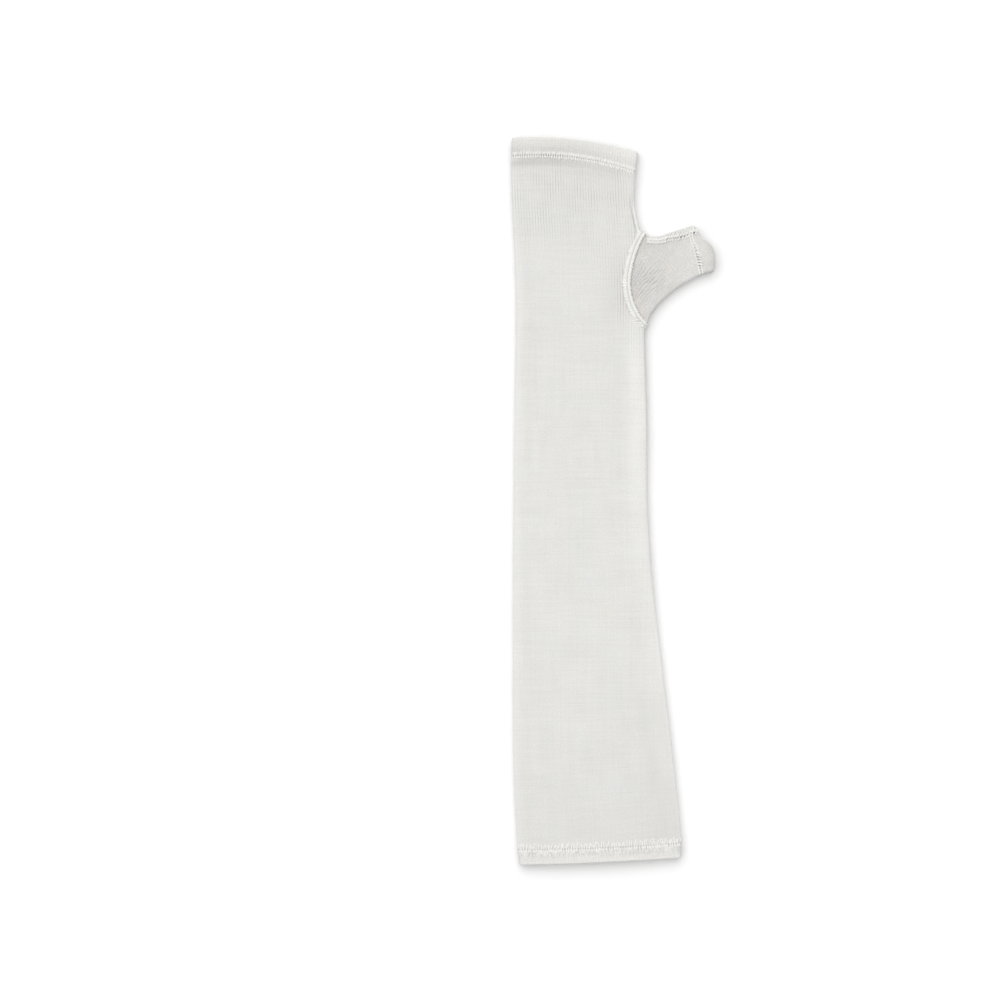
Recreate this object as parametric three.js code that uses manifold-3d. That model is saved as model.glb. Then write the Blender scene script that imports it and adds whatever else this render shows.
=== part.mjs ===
// A long knitted arm warmer with a sewn-in thumb, lying flat on its back layer.
// Millimetres: +X towards the thumb, +Y towards the fingers, +Z up from the surface that it lies on.
import * as THREE from "three";
import { mergeVertices } from "three/addons/utils/BufferGeometryUtils.js";
import Module from "manifold-3d";

const wasm = await Module();
wasm.setup();

// Cloth
const CLOTH = 1.0; // one layer of knit
const HEM_CLOTH = 1.7; // a turned-in hem, two layers pressed together
const MOUTH_ROUNDING = 0.75; // radius of the hem's folded edge
const SEWN_GAP = 0.3; // between pieces that are sewn together
const KNIT = { color: 0xe9e7e1, roughness: 0.92, metalness: 0 };
const THUMB_KNIT = { ...KNIT, color: 0xe2dfd9 };
const SEAM_THREAD = { ...KNIT, color: 0xf1f0eb };

// Sleeve
const LENGTH = 439.6; // along the folded edge away from the thumb
const HEM_DEPTH = { elbow: 9.6, finger: 11.0 }; // from the mouth's edge to the stitching

// A row for each section across the sleeve. along: from the elbow edge, on the folded edge away from
// the thumb. skew: how much further along the thumb-side edge is. bow: how far the middle runs ahead.
// left and right: x of the two folded edges. fold: height of the folded edges. crown: rise of the
// middle over them, where a mouth stands open, or its dip.
const SLEEVE = [
  { along: 0, skew: 4.3, bow: -0.5, left: -57.2, right: 40.8, fold: 7.9, crown: 1.8 },
  { along: 9.6, skew: 4.1, bow: -0.9, left: -58.3, right: 40.9, fold: 7.8, crown: 0.8 },
  { along: 40, skew: 2, bow: -0.2, left: -59.9, right: 38.7, fold: 7.5, crown: 0 },
  { along: 75, skew: 0.6, bow: 0, left: -60.7, right: 34.8, fold: 7.5, crown: -0.15 },
  { along: 120, skew: 0, bow: 0, left: -60.8, right: 29.2, fold: 7.5, crown: -0.15 },
  { along: 170, skew: 0, bow: 0, left: -60.7, right: 23.5, fold: 7.5, crown: -0.1 },
  { along: 220, skew: 0, bow: 0, left: -60.5, right: 20.1, fold: 7.5, crown: -0.15 },
  { along: 265, skew: 0, bow: 0, left: -60.1, right: 19.4, fold: 7.5, crown: -0.1 },
  { along: 310, skew: 0, bow: 0, left: -59.4, right: 18.1, fold: 7.5, crown: -0.1 },
  { along: 345, skew: -0.3, bow: 0, left: -59.4, right: 17.6, fold: 7.5, crown: -0.1 },
  { along: 380, skew: -1.2, bow: 0.4, left: -60.8, right: 15.4, fold: 7.5, crown: -0.1 },
  { along: 402, skew: -3.4, bow: 1.6, left: -62.1, right: 11.0, fold: 7.5, crown: 0 },
  { along: 428.6, skew: -9.6, bow: 4.1, left: -62.25, right: 12.5, fold: 7.8, crown: 0.8 },
  { along: 439.6, skew: -8.8, bow: 3.3, left: -61.9, right: 14.8, fold: 7.9, crown: 1.8 },
];

// Thumb, a row for each section across it. along: from inside the sleeve, on its middle line. upper
// and lower: the two folded edges, the upper one nearer the fingers. under: how far the back layer
// stands out past the front one.
const THUMB = [
  { along: 0, upX: 7, upY: 154, lowX: 7.6, lowY: 111, bow: 0, fold: 7.1, crown: 0, under: 0 },
  { along: 10, upX: 15.8, upY: 160.2, lowX: 18.2, lowY: 100.9, bow: 0, fold: 7.2, crown: 0, under: 0 },
  { along: 16, upX: 21.6, upY: 159.1, lowX: 21.5, lowY: 110.9, bow: 0, fold: 7.2, crown: 0, under: 0 },
  { along: 23, upX: 28.1, upY: 159.3, lowX: 26.6, lowY: 118.1, bow: 0, fold: 7.2, crown: 0.1, under: 0 },
  { along: 31, upX: 34.1, upY: 161.3, lowX: 33.5, lowY: 124.9, bow: 0, fold: 7.2, crown: 0.3, under: 0 },
  { along: 39.5, upX: 40.2, upY: 163.5, lowX: 42.6, lowY: 131.2, bow: 0.2, fold: 7.2, crown: 0.5, under: 0 },
  { along: 48, upX: 45.3, upY: 165.2, lowX: 53, lowY: 136.7, bow: 0.8, fold: 7.3, crown: 0.8, under: 0.3 },
  { along: 57, upX: 49.3, upY: 166.3, lowX: 59.8, lowY: 138.9, bow: 4.3, fold: 7.4, crown: 1.5, under: 2 },
];
const THUMB_MOUTH = 57;
const THUMB_STITCHING = 48; // where the thumb's hem is stitched down

// Cover stitching over the hems. A row for each line along it, from the hem's inner end. across and
// rise: shares of its width and rise, with a row of loops on either side of a groove.
const COVER_STITCH = { width: 4.8, rise: 0.35 };
const COVER_PROFILE = [
  { across: 0, rise: 0.2 },
  { across: 0.27, rise: 1 },
  { across: 0.5, rise: 0.4 },
  { across: 0.73, rise: 1 },
  { across: 1, rise: 0 },
];

// Seam that sets the thumb in: its middle line over the front layer, from the fingers' side down,
// and its two ridges with a groove between them over a flatter floor
const SET_IN_LINE = [
  { x: 17.6, y: 162.2 },
  { x: 13, y: 153 },
  { x: 9.6, y: 141.5 },
  { x: 8.4, y: 130.5 },
  { x: 10.4, y: 119.5 },
  { x: 14.8, y: 110.8 },
  { x: 19.4, y: 105.6 },
];
const SET_IN = { width: 4.2, groove: 0.7, rise: 1.0, floor: 0.35 };

// Overlocked seam along the thumb's upper edge, which ends just short of the mouth
const TOP_SEAM = { width: 4.4, widthAtTip: 5.6, rise: 1.2, end: 56 };

// How finely things are divided
const SPACING = { forearm: 20, hand: 9, thumb: 4 }; // between sections
const HAND_FROM = 330; // where the hand's closer sections start
const FOLD_STEPS = 6; // round each folded edge
const FRONT_STEPS = 12; // across the front layer
const BACK_STEPS = 5; // across the flat back layer
const MOUTH_STEPS = 3; // round the edge of a mouth

// Reach of the cutting shapes
const RUN_ON = 7.5; // past the ends of a line that they follow
const BEYOND = 60; // past everything on one side

const UP = new THREE.Vector3(0, 0, 1);

// Even steps from one value to another, by their number or by their greatest spacing.
const steps = (from, to, count) =>
  Array.from({ length: count + 1 }, (_, k) => from + ((to - from) * k) / count);
const spaced = (from, to, spacing) => steps(from, to, Math.ceil((to - from) / spacing));

// Smooth values between the rows of a table, in each named column.
function rowAt(table, along) {
  const last = table.length - 1;
  const next = table.findIndex((row) => row.along > along);
  const i = next < 0 ? last - 1 : Math.max(next - 1, 0);
  const [from, to] = [table[i], table[i + 1]];
  const step = to.along - from.along;
  const f = (along - from.along) / step;
  const slope = (k, column) => {
    const before = table[Math.max(k - 1, 0)];
    const after = table[Math.min(k + 1, last)];
    return (after[column] - before[column]) / (after.along - before.along);
  };
  const row = { along };
  for (const column of Object.keys(from).filter((name) => name !== "along"))
    row[column] =
      (1 + 2 * f) * (1 - f) ** 2 * from[column] +
      f * (1 - f) ** 2 * step * slope(i, column) +
      f ** 2 * (3 - 2 * f) * to[column] +
      f ** 2 * (f - 1) * step * slope(i + 1, column);
  return row;
}

// A section of the sleeve or the thumb: its two folded edges, and the way towards its mouth.
function sleeveSection(along) {
  const row = rowAt(SLEEVE, along);
  const y = along - LENGTH / 2;
  const from = new THREE.Vector3(row.left, y, 0);
  const to = new THREE.Vector3(row.right, y + row.skew, 0);
  return { ...row, from, to, ahead: new THREE.Vector3(0, 1, 0), under: 0 };
}

function thumbSection(along) {
  const row = rowAt(THUMB, along);
  const from = new THREE.Vector3(row.upX, row.upY, 0);
  const to = new THREE.Vector3(row.lowX, row.lowY, 0);
  const ahead = new THREE.Vector3().crossVectors(UP, to.clone().sub(from)).normalize();
  return { ...row, from, to, ahead };
}

// One closed ring of points round a flattened tube, inset into the cloth or, with a negative inset,
// raised over it. The back layer lies flat on the surface, so a raised ring stays flush there.
function ring({ from, to, ahead, bow, fold, crown, under }, inset) {
  const width = from.distanceTo(to);
  const across = to.clone().sub(from).divideScalar(width);
  const radius = fold / 2;
  const flat = width - fold;
  const bottom = Math.max(inset, 0);
  const half = (fold - inset - bottom) / 2;
  const points = [];
  const add = (reach, z) => {
    const share = reach / width;
    const forward = bow * 4 * share * (1 - share) + under * (1 - z / fold);
    points.push(from.clone().addScaledVector(across, reach).addScaledVector(ahead, forward).setZ(z));
  };
  const addFold = (centre, startAngle) => {
    for (const angle of steps(startAngle, startAngle + Math.PI, FOLD_STEPS))
      add(centre + (radius - inset) * Math.cos(angle), bottom + half + half * Math.sin(angle));
  };
  addFold(width - radius, -Math.PI / 2);
  for (const share of steps(1, 0, FRONT_STEPS).slice(1, -1)) {
    const plateau = 1 - Math.abs(2 * share - 1) ** 3;
    add(radius + flat * share, fold - inset + crown * plateau);
  }
  addFold(radius, Math.PI / 2);
  for (const share of steps(0, 1, BACK_STEPS).slice(1, -1)) add(radius + flat * share, bottom);
  return points;
}

// A solid from a closed geometry, turned the right way out if its rings run the other way round.
function solidOf(geometry) {
  const bare = new THREE.BufferGeometry();
  bare.setAttribute("position", geometry.getAttribute("position"));
  bare.setIndex(geometry.index);
  const merged = mergeVertices(bare);
  const vertProperties = merged.attributes.position.array;
  const triVerts = new Uint32Array(merged.index.array);
  const build = () => new wasm.Manifold(new wasm.Mesh({ numProp: 3, vertProperties, triVerts }));
  const solid = build();
  if (solid.volume() > 0) return solid;
  triVerts.reverse();
  return build();
}

// Two triangles for each side of each ring to the next one, and to the first one after the last.
function sides(rings, spans) {
  const count = rings[0].length;
  const faces = [];
  for (let r = 0; r < spans; r++)
    for (let k = 0; k < count; k++) {
      const [a, b] = [r * count + k, r * count + ((k + 1) % count)];
      const [c, d] = [a, b].map((i) => (i + count) % (rings.length * count));
      faces.push(a, d, b, a, c, d);
    }
  return faces;
}

// A wall: outer rings one way and inner rings back, so that the last ring meets the first.
function closedWall(rings) {
  const geometry = new THREE.BufferGeometry().setFromPoints(rings.flat());
  return solidOf(geometry.setIndex(sides(rings, rings.length)));
}

// A tube's whole body with both ends capped, for joining and cutting.
function bodyOf(sectionAt, stations, inset) {
  const rings = stations.map((along) => ring(sectionAt(along), inset));
  const points = rings.flat();
  const faces = sides(rings, rings.length - 1);
  const count = rings[0].length;
  const cap = (start, turned) => {
    const hub = points.length;
    const ends = points.slice(start, start + count);
    points.push(ends.reduce((sum, p) => sum.add(p), new THREE.Vector3()).divideScalar(count));
    for (let k = 0; k < count; k++) {
      const edge = [start + k, start + ((k + 1) % count)];
      faces.push(hub, ...(turned ? edge : edge.reverse()));
    }
  };
  cap(0, true);
  cap((rings.length - 1) * count, false);
  return solidOf(new THREE.BufferGeometry().setFromPoints(points).setIndex(faces));
}

// A stretch of tube with plain ends.
function tube(sectionAt, stations) {
  const ringsAt = (inset) => stations.map((along) => ring(sectionAt(along), inset));
  return closedWall([...ringsAt(0), ...ringsAt(CLOTH).reverse()]);
}

// A hem runs from the stitching, where the cover stitches stand over it, to its rounded edge.
function hem(sectionAt, stitching, edge) {
  const way = Math.sign(edge - stitching);
  const start = stitching + (way * SEWN_GAP) / 2;
  const stitches = COVER_PROFILE.map(({ across, rise }) => ({
    along: start + way * across * COVER_STITCH.width,
    inset: -COVER_STITCH.rise * rise,
  }));
  const rounding = steps(0, Math.PI / 2, MOUTH_STEPS).map((angle) => ({
    along: edge - way * MOUTH_ROUNDING * (1 - Math.sin(angle)),
    inset: MOUTH_ROUNDING * (1 - Math.cos(angle)),
  }));
  const inside = rounding.map(({ along, inset }) => ({ along, inset: HEM_CLOTH - inset }));
  const stations = [...stitches, ...rounding, ...inside.reverse(), { along: start, inset: HEM_CLOTH }];
  return closedWall(stations.map(({ along, inset }) => ring(sectionAt(along), inset)));
}

// What an outline in plan covers, from below the surface to above the cloth.
function column(outline) {
  const shape = new THREE.Shape(outline.map(({ x, y }) => new THREE.Vector2(x, y)));
  const geometry = new THREE.ExtrudeGeometry(shape, { depth: BEYOND, bevelEnabled: false });
  geometry.translate(0, 0, -BEYOND / 2);
  return solidOf(geometry);
}

// The set-in seam's line, moved sideways towards the thumb and run on at both ends.
function besideSetIn(offset) {
  const curve = new THREE.SplineCurve(SET_IN_LINE.map(({ x, y }) => new THREE.Vector2(x, y)));
  const points = steps(0, 1, 2 * (SET_IN_LINE.length - 1)).map((t) => {
    const tangent = curve.getTangent(t);
    return curve.getPoint(t).add(new THREE.Vector2(-tangent.y, tangent.x).multiplyScalar(offset));
  });
  points.unshift(points[0].clone().addScaledVector(curve.getTangent(0), -RUN_ON));
  points.push(points.at(-1).clone().addScaledVector(curve.getTangent(1), RUN_ON));
  return points;
}

// The band between two offsets from the set-in seam's line.
const bandAlongSetIn = (near, far) => column([...besideSetIn(near), ...besideSetIn(far).reverse()]);

// Everything on the thumb's side of an offset from the set-in seam's line.
function thumbSide(offset) {
  const line = besideSetIn(offset);
  const [top, bottom] = [line[0], line.at(-1)];
  return column([
    ...line,
    { x: bottom.x + BEYOND, y: bottom.y },
    { x: bottom.x + BEYOND, y: top.y + RUN_ON },
    { x: top.x, y: top.y + RUN_ON },
  ]);
}

const SLEEVE_ENDS = [HEM_DEPTH.elbow + SEWN_GAP / 2, LENGTH - HEM_DEPTH.finger - SEWN_GAP / 2];
const SLEEVE_STATIONS = [
  ...spaced(SLEEVE_ENDS[0], HAND_FROM, SPACING.forearm),
  ...spaced(HAND_FROM, SLEEVE_ENDS[1], SPACING.hand).slice(1),
];
const THUMB_STATIONS = spaced(0, THUMB_STITCHING - SEWN_GAP / 2, SPACING.thumb);
const BESIDE_SEAM = SET_IN.width / 2 + SEWN_GAP;

const sleeve = () => tube(sleeveSection, SLEEVE_STATIONS).subtract(thumbSide(-BESIDE_SEAM));
const thumbTube = () => tube(thumbSection, THUMB_STATIONS).intersect(thumbSide(BESIDE_SEAM));

// Two ridges with a groove between them, right round the hole that the thumb is sewn into.
function setInSeam() {
  const bodies = (inset) =>
    bodyOf(sleeveSection, SLEEVE_STATIONS, inset).add(bodyOf(thumbSection, THUMB_STATIONS, inset));
  const [edge, groove] = [SET_IN.width / 2, SET_IN.groove / 2];
  const rails = bandAlongSetIn(-edge, -groove).add(bandAlongSetIn(groove, edge));
  const ridges = bodies(-SET_IN.rise).intersect(rails);
  const floor = bodies(-SET_IN.floor).intersect(bandAlongSetIn(-edge, edge));
  return ridges.add(floor).subtract(bodies(CLOTH));
}

// The overlocked edge, laid round the thumb's upper fold from the set-in seam over the hem.
function topSeam() {
  const stations = [...THUMB_STATIONS, TOP_SEAM.end];
  const fromFold = (along, reach) => {
    const { from, to } = thumbSection(along);
    return from.clone().lerp(to, reach / from.distanceTo(to));
  };
  const width = (along) =>
    TOP_SEAM.width + (along / TOP_SEAM.end) * (TOP_SEAM.widthAtTip - TOP_SEAM.width);
  const strip = column([
    ...stations.map((along) => fromFold(along, -RUN_ON)),
    ...stations.map((along) => fromFold(along, width(along))).reverse(),
  ]);
  const overHem = spaced(THUMB_STITCHING - SEWN_GAP / 2, THUMB_MOUTH, SPACING.thumb);
  return bodyOf(thumbSection, stations, -TOP_SEAM.rise)
    .subtract(bodyOf(thumbSection, [...THUMB_STATIONS, THUMB_MOUTH], -SEWN_GAP))
    .subtract(bodyOf(thumbSection, overHem, -COVER_STITCH.rise - SEWN_GAP))
    .intersect(strip)
    .intersect(thumbSide(BESIDE_SEAM + SEWN_GAP));
}

function piece(name, solid, look) {
  const { vertProperties, triVerts } = solid.getMesh();
  const geometry = new THREE.BufferGeometry();
  geometry.setAttribute("position", new THREE.BufferAttribute(vertProperties, 3));
  geometry.setIndex(new THREE.BufferAttribute(triVerts, 1));
  geometry.computeVertexNormals();
  const mesh = new THREE.Mesh(geometry, new THREE.MeshStandardMaterial(look));
  mesh.name = name;
  return mesh;
}

const armWarmer = new THREE.Group();
armWarmer.add(
  piece("sleeve", sleeve(), KNIT),
  piece("elbow_hem", hem(sleeveSection, HEM_DEPTH.elbow, 0), KNIT),
  piece("finger_hem", hem(sleeveSection, LENGTH - HEM_DEPTH.finger, LENGTH), KNIT),
  piece("thumb_tube", thumbTube(), THUMB_KNIT),
  piece("thumb_hem", hem(thumbSection, THUMB_STITCHING, THUMB_MOUTH), THUMB_KNIT),
  piece("thumb_set_in_seam", setInSeam(), SEAM_THREAD),
  piece("thumb_top_seam", topSeam(), SEAM_THREAD),
);

// Origin under the middle of the whole
const middle = new THREE.Box3().setFromObject(armWarmer, true).getCenter(new THREE.Vector3());
for (const mesh of armWarmer.children) mesh.geometry.translate(-middle.x, -middle.y, 0);

export default armWarmer;
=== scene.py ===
"""A long knitted arm warmer with a sewn-in thumb, laid flat on a pale surface in soft light.

Sizes are in millimetres until a mesh is made. The sleeve and the thumb are flattened tubes: a table of
sections gives each one's folded edges, and a turn from -3 to 3 goes round a section. A turn of 0 is the
outermost point of the first folded edge, 3 and -3 are that of the other one, and the front layer is on
the positive side.
"""

import functools
import logging
import math
from dataclasses import dataclass
from enum import Enum

import bpy
import numpy as np
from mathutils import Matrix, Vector


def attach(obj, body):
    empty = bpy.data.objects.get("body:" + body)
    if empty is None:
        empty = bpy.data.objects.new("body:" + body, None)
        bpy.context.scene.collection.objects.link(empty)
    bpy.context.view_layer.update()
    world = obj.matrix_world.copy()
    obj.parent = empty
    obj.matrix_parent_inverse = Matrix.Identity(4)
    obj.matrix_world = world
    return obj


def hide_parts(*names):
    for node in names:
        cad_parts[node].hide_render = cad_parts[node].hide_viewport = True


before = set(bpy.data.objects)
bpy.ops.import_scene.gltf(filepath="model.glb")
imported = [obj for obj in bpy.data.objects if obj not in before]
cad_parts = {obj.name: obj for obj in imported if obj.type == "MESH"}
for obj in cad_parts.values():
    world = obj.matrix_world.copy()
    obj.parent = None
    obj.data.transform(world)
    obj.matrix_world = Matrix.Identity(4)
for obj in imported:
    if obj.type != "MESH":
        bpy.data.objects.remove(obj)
log = logging.getLogger("arm_warmer")

Array = np.ndarray
Piece = bpy.types.Object
Socket = bpy.types.NodeSocket
Pair = tuple[float, float]
Humps = tuple[tuple[float, float, float], ...]  # the height, place and reach of each
Line = tuple[Array, Array]  # its points, and the ways out of the cloth there
Edges = tuple[Array, Array, Array, dict[str, Array]]  # two folds, the way to the mouth, table values
Colour = tuple[float, float, float]

MM = 0.001
CENTRE = np.array([-0.3279, 0.1845, 0.0])  # where the frame's origin is in the tables, mm
UP = (0.0, 0.0, 1.0)
BODY = "root"

LENGTH = 439.6  # along the folded edge away from the thumb, mm
ELBOW_STITCHING = 9.0
FINGER_STITCHING = 427.9
FINGER_MOUTH = 439.1
THUMB_STITCHING = 48.0
THUMB_MOUTH = 57.0
HEM_BEHIND = 2.1  # how far a hem runs past its stitching


class Slot(Enum):
    """The record's material slots."""

    SLEEVE = "sleeve_knit"
    HEM = "hem_knit"
    THUMB = "thumb_knit"
    SEAM = "seam_thread"


class Grain(Enum):
    """How a piece of knit is turned: its ribs along the tube, or slanting across it."""

    STRAIGHT = 0.0
    BIAS = 43.0  # degrees


class Table:
    """Named sizes along a tube, with smooth values between the rows."""

    def __init__(self, columns: str, rows: tuple[tuple[float, ...], ...]) -> None:
        """Reads the rows.

        Args:
            columns: The columns' names, of which the first is the place along the tube.
            rows: A row of values for each section.
        """
        grid = np.array(rows, dtype=float)
        self.places = grid[:, 0]
        self.columns = {name: grid[:, k + 1] for k, name in enumerate(columns.split()[1:])}

    def at(self, along: Array) -> dict[str, Array]:
        """Gives every column's values.

        Args:
            along: Places along the tube, mm.

        Returns:
            An array of along's shape for each named column.
        """
        places, last = self.places, len(self.places) - 1
        i = np.clip(np.searchsorted(places, along, side="right") - 1, 0, last - 1)
        step = places[i + 1] - places[i]
        f = (along - places[i]) / step
        before = np.maximum(np.arange(last + 1) - 1, 0)
        after = np.minimum(np.arange(last + 1) + 1, last)
        out = {}
        for name, values in self.columns.items():
            slope = (values[after] - values[before]) / (places[after] - places[before])
            out[name] = (
                (1 + 2 * f) * (1 - f) ** 2 * values[i]
                + f * (1 - f) ** 2 * step * slope[i]
                + f**2 * (3 - 2 * f) * values[i + 1]
                + f**2 * (f - 1) * step * slope[i + 1]
            )
        return out


# skew: how much further along the thumb-side edge is. bow: how far the middle runs ahead. left, right:
# x of the two folded edges. fold: their height. crown: rise of the middle over them.
SLEEVE_TABLE = Table(
    "along skew bow left right fold crown",
    (
        (0, 4.3, -0.5, -56.8, 40.7, 7.9, 1.8),
        (9.6, 4.1, -0.9, -57.8, 40.8, 7.8, 0.8),
        (40, 2, -0.2, -59.4, 38.2, 7.5, 0),
        (75, 0.6, 0, -60.3, 34.5, 7.5, -0.15),
        (120, 0, 0, -60.4, 29.1, 7.5, -0.15),
        (170, 0, 0, -60.4, 23.6, 7.5, -0.1),
        (220, 0, 0, -60.0, 20.4, 7.5, -0.15),
        (265, 0, 0, -59.6, 20.3, 7.5, -0.1),
        (310, 0, 0, -58.9, 19.1, 7.5, -0.1),
        (345, -0.3, 0, -58.8, 18.0, 7.5, -0.1),
        (380, -1.2, 0.4, -60.1, 16.2, 7.5, -0.1),
        (402, -3.4, 1.6, -61.3, 12.7, 7.5, 0),
        (428.6, -9.6, 4.1, -61.7, 13.5, 7.8, 0.8),
        (439.6, -8.8, 3.3, -61.3, 15.0, 7.9, 1.8),
    ),
)

# up and low: the thumb's two folded edges, the upper one nearer the fingers. under: how far the back
# layer stands out past the front one.
THUMB_TABLE = Table(
    "along up_x up_y low_x low_y bow fold crown under",
    (
        (0, 7, 154, 7.6, 111, 0, 7.1, 0, 0),
        (10, 15.8, 160.2, 18.2, 100.9, 0, 7.2, 0, 0),
        (16, 21.6, 159.1, 21.5, 110.9, 0, 7.2, 0, 0),
        (23, 28.1, 159.3, 26.6, 118.1, 0, 7.2, 0.1, 0),
        (31, 34.1, 161.3, 33.5, 124.9, 0, 7.2, 0.3, 0),
        (39.5, 40.2, 163.2, 42.6, 131.2, 0.2, 7.2, 0.5, 0),
        (48, 45.1, 164.8, 53, 136.7, 0.8, 7.3, 0.8, 0.1),
        (57, 49.0, 165.9, 60.2, 138.3, 5.0, 7.4, 1.2, 0.4),
    ),
)

# How far the thumb's mouth stands out along its edge, from the upper fold to the lower one
MOUTH_TABLE = Table(
    "share out",
    (
        (0, 0), (0.15, 0.12), (0.29, 0.28), (0.37, 0.64), (0.45, 0.9),
        (0.54, 1.0), (0.68, 0.92), (0.84, 0.6), (0.95, 0.2), (1, 0),
    ),
)

# The middle line of the seam that sets the thumb in, over the front layer, from the fingers' side down
SET_IN_TABLE = Table(
    "step x y",
    (
        (0, 17.6, 162.2), (1, 13, 153), (2, 9.6, 141.5), (3, 8.4, 130.5),
        (4, 10.4, 119.5), (5, 14.8, 110.8), (6, 19.4, 105.6),
    ),
)


def hump(x: Array, place: float, reach: float) -> Array:
    """A smooth hump that is 1 at the place and dies away over the reach."""
    return np.exp(-(((x - place) / reach) ** 2))


def humps(x: Array, rows: Humps) -> Array:
    """The sum of several humps."""
    return sum(height * hump(x, place, reach) for height, place, reach in rows)


def rise(x: Array, start: float, reach: float) -> Array:
    """A smooth rise from 0 at the start to 1 past the reach."""
    t = np.clip((x - start) / reach, 0, 1)
    return t * t * (3 - 2 * t)


def spaced(start: float, end: float, spacing: float) -> Array:
    """Even places from start to end, no further apart than the spacing."""
    return np.linspace(start, end, math.ceil(abs(end - start) / spacing) + 1)


def travelled(points: Array) -> Array:
    """The length of a line up to each of its points, mm."""
    return np.concatenate([[0], np.cumsum(np.linalg.norm(np.diff(points, axis=0), axis=1))])


def mottle(places: Array, step: float, seed: int) -> Array:
    """Fixed random values from 0 to 1 along a line, a new one at each step."""
    knots = np.arange(places.min(), places.max() + 2 * step, step)
    return np.interp(places, knots, np.random.default_rng(seed).uniform(0, 1, len(knots)))


def speckle(rows: Array, columns: Array, cell: Pair, seed: int) -> Array:
    """Gives fixed random values from -1 to 1 over a grid, a new one in each cell.

    Args:
        rows: Places of the grid's rows, mm.
        columns: Places of its columns, mm.
        cell: A cell's length and width, mm.
        seed: Which values they are.

    Returns:
        A value for each point of the grid.
    """
    down = np.floor((rows - rows.min()) / cell[0]).astype(int)
    across = np.floor((columns - columns.min()) / cell[1]).astype(int)
    draws = np.random.default_rng(seed).uniform(-1, 1, (down.max() + 1, across.max() + 1))
    return draws[down][:, across]


@functools.cache
def fold_curve(squareness: float, steps: int = 4000, shares: int = 200) -> tuple[Array, Array, float]:
    """Measures a quarter of a folded edge of radius 1.

    Args:
        squareness: 1 for an even round, less for one pressed square.
        steps: How many steps it is measured in.
        shares: How many it is given in.

    Returns:
        Shares of its length from its outermost point, the angle reached at each, and its whole length.
    """
    angle = np.linspace(0, math.pi / 2, steps + 1)
    step = np.hypot(np.diff(np.cos(angle) ** squareness), np.diff(np.sin(angle) ** squareness))
    length = np.concatenate([[0], np.cumsum(step)])
    share = np.linspace(0, 1, shares + 1)
    return share, np.interp(share * length[-1], length, angle), float(length[-1])


@dataclass(frozen=True)
class Ripples:
    """The faint waves of loose cloth, a fixed sum of long waves."""

    count: int = 24
    shortest: float = 25.0
    longest: float = 90.0
    height: float = 0.12
    seed: int = 11

    def at(self, x: Array, y: Array) -> Array:
        """Gives the waves' height.

        Args:
            x: Places across, mm.
            y: Places along, mm.

        Returns:
            The height over the mean, mm.
        """
        chance = np.random.default_rng(self.seed)
        total = np.zeros(np.broadcast(x, y).shape)
        for _ in range(self.count):
            turn = chance.uniform(0, 2 * math.pi)
            number = 2 * math.pi / chance.uniform(self.shortest, self.longest)
            phase = chance.uniform(0, 2 * math.pi)
            total += np.cos(number * (x * math.cos(turn) + y * math.sin(turn)) + phase)
        return self.height * total / math.sqrt(self.count / 2)


class SetInLine:
    """The set-in seam's middle line in plan, run on straight at both ends."""

    steps = 140  # straight steps that stand for the curve
    run_on = 12.0  # how far it goes on past its ends, mm
    run_steps = 12
    block = 20000  # places at a time, to keep the table of distances small

    def __init__(self) -> None:
        """Lays the line out."""
        row = SET_IN_TABLE.at(np.linspace(0, SET_IN_TABLE.places[-1], self.steps + 1))
        self.points = np.stack([row["x"], row["y"]], axis=-1)
        self.tangents = self.directions(self.points)
        first = self.points[0] - self.tangents[0] * self.run_on
        last = self.points[-1] + self.tangents[-1] * self.run_on
        before = np.linspace(first, self.points[0], self.run_steps)[:-1]
        after = np.linspace(self.points[-1], last, self.run_steps)[1:]
        self.long_points = np.vstack([before, self.points, after])
        self.long_tangents = self.directions(self.long_points)

    @staticmethod
    def directions(points: Array) -> Array:
        """The line's direction at each of its points."""
        ahead = np.gradient(points, axis=0)
        return ahead / np.linalg.norm(ahead, axis=1, keepdims=True)

    def offset(self, x: Array, y: Array) -> Array:
        """Gives each place's distance from the line.

        Args:
            x: Places across, mm.
            y: Places along, mm.

        Returns:
            The distance, mm, positive on the thumb's side.
        """
        flat = np.stack([np.ravel(x), np.ravel(y)], axis=-1)
        out = np.empty(len(flat))
        for start in range(0, len(flat), self.block):
            part = flat[start : start + self.block]
            gap = part[:, None, :] - self.long_points[None, :, :]
            nearest = np.argmin((gap**2).sum(axis=2), axis=1)
            rel = gap[np.arange(len(part)), nearest]
            tangent = self.long_tangents[nearest]
            side = tangent[:, 0] * rel[:, 1] - tangent[:, 1] * rel[:, 0]
            out[start : start + self.block] = np.sign(side) * np.linalg.norm(rel, axis=1)
        return out.reshape(np.shape(x))


SET_IN = SetInLine()


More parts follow.
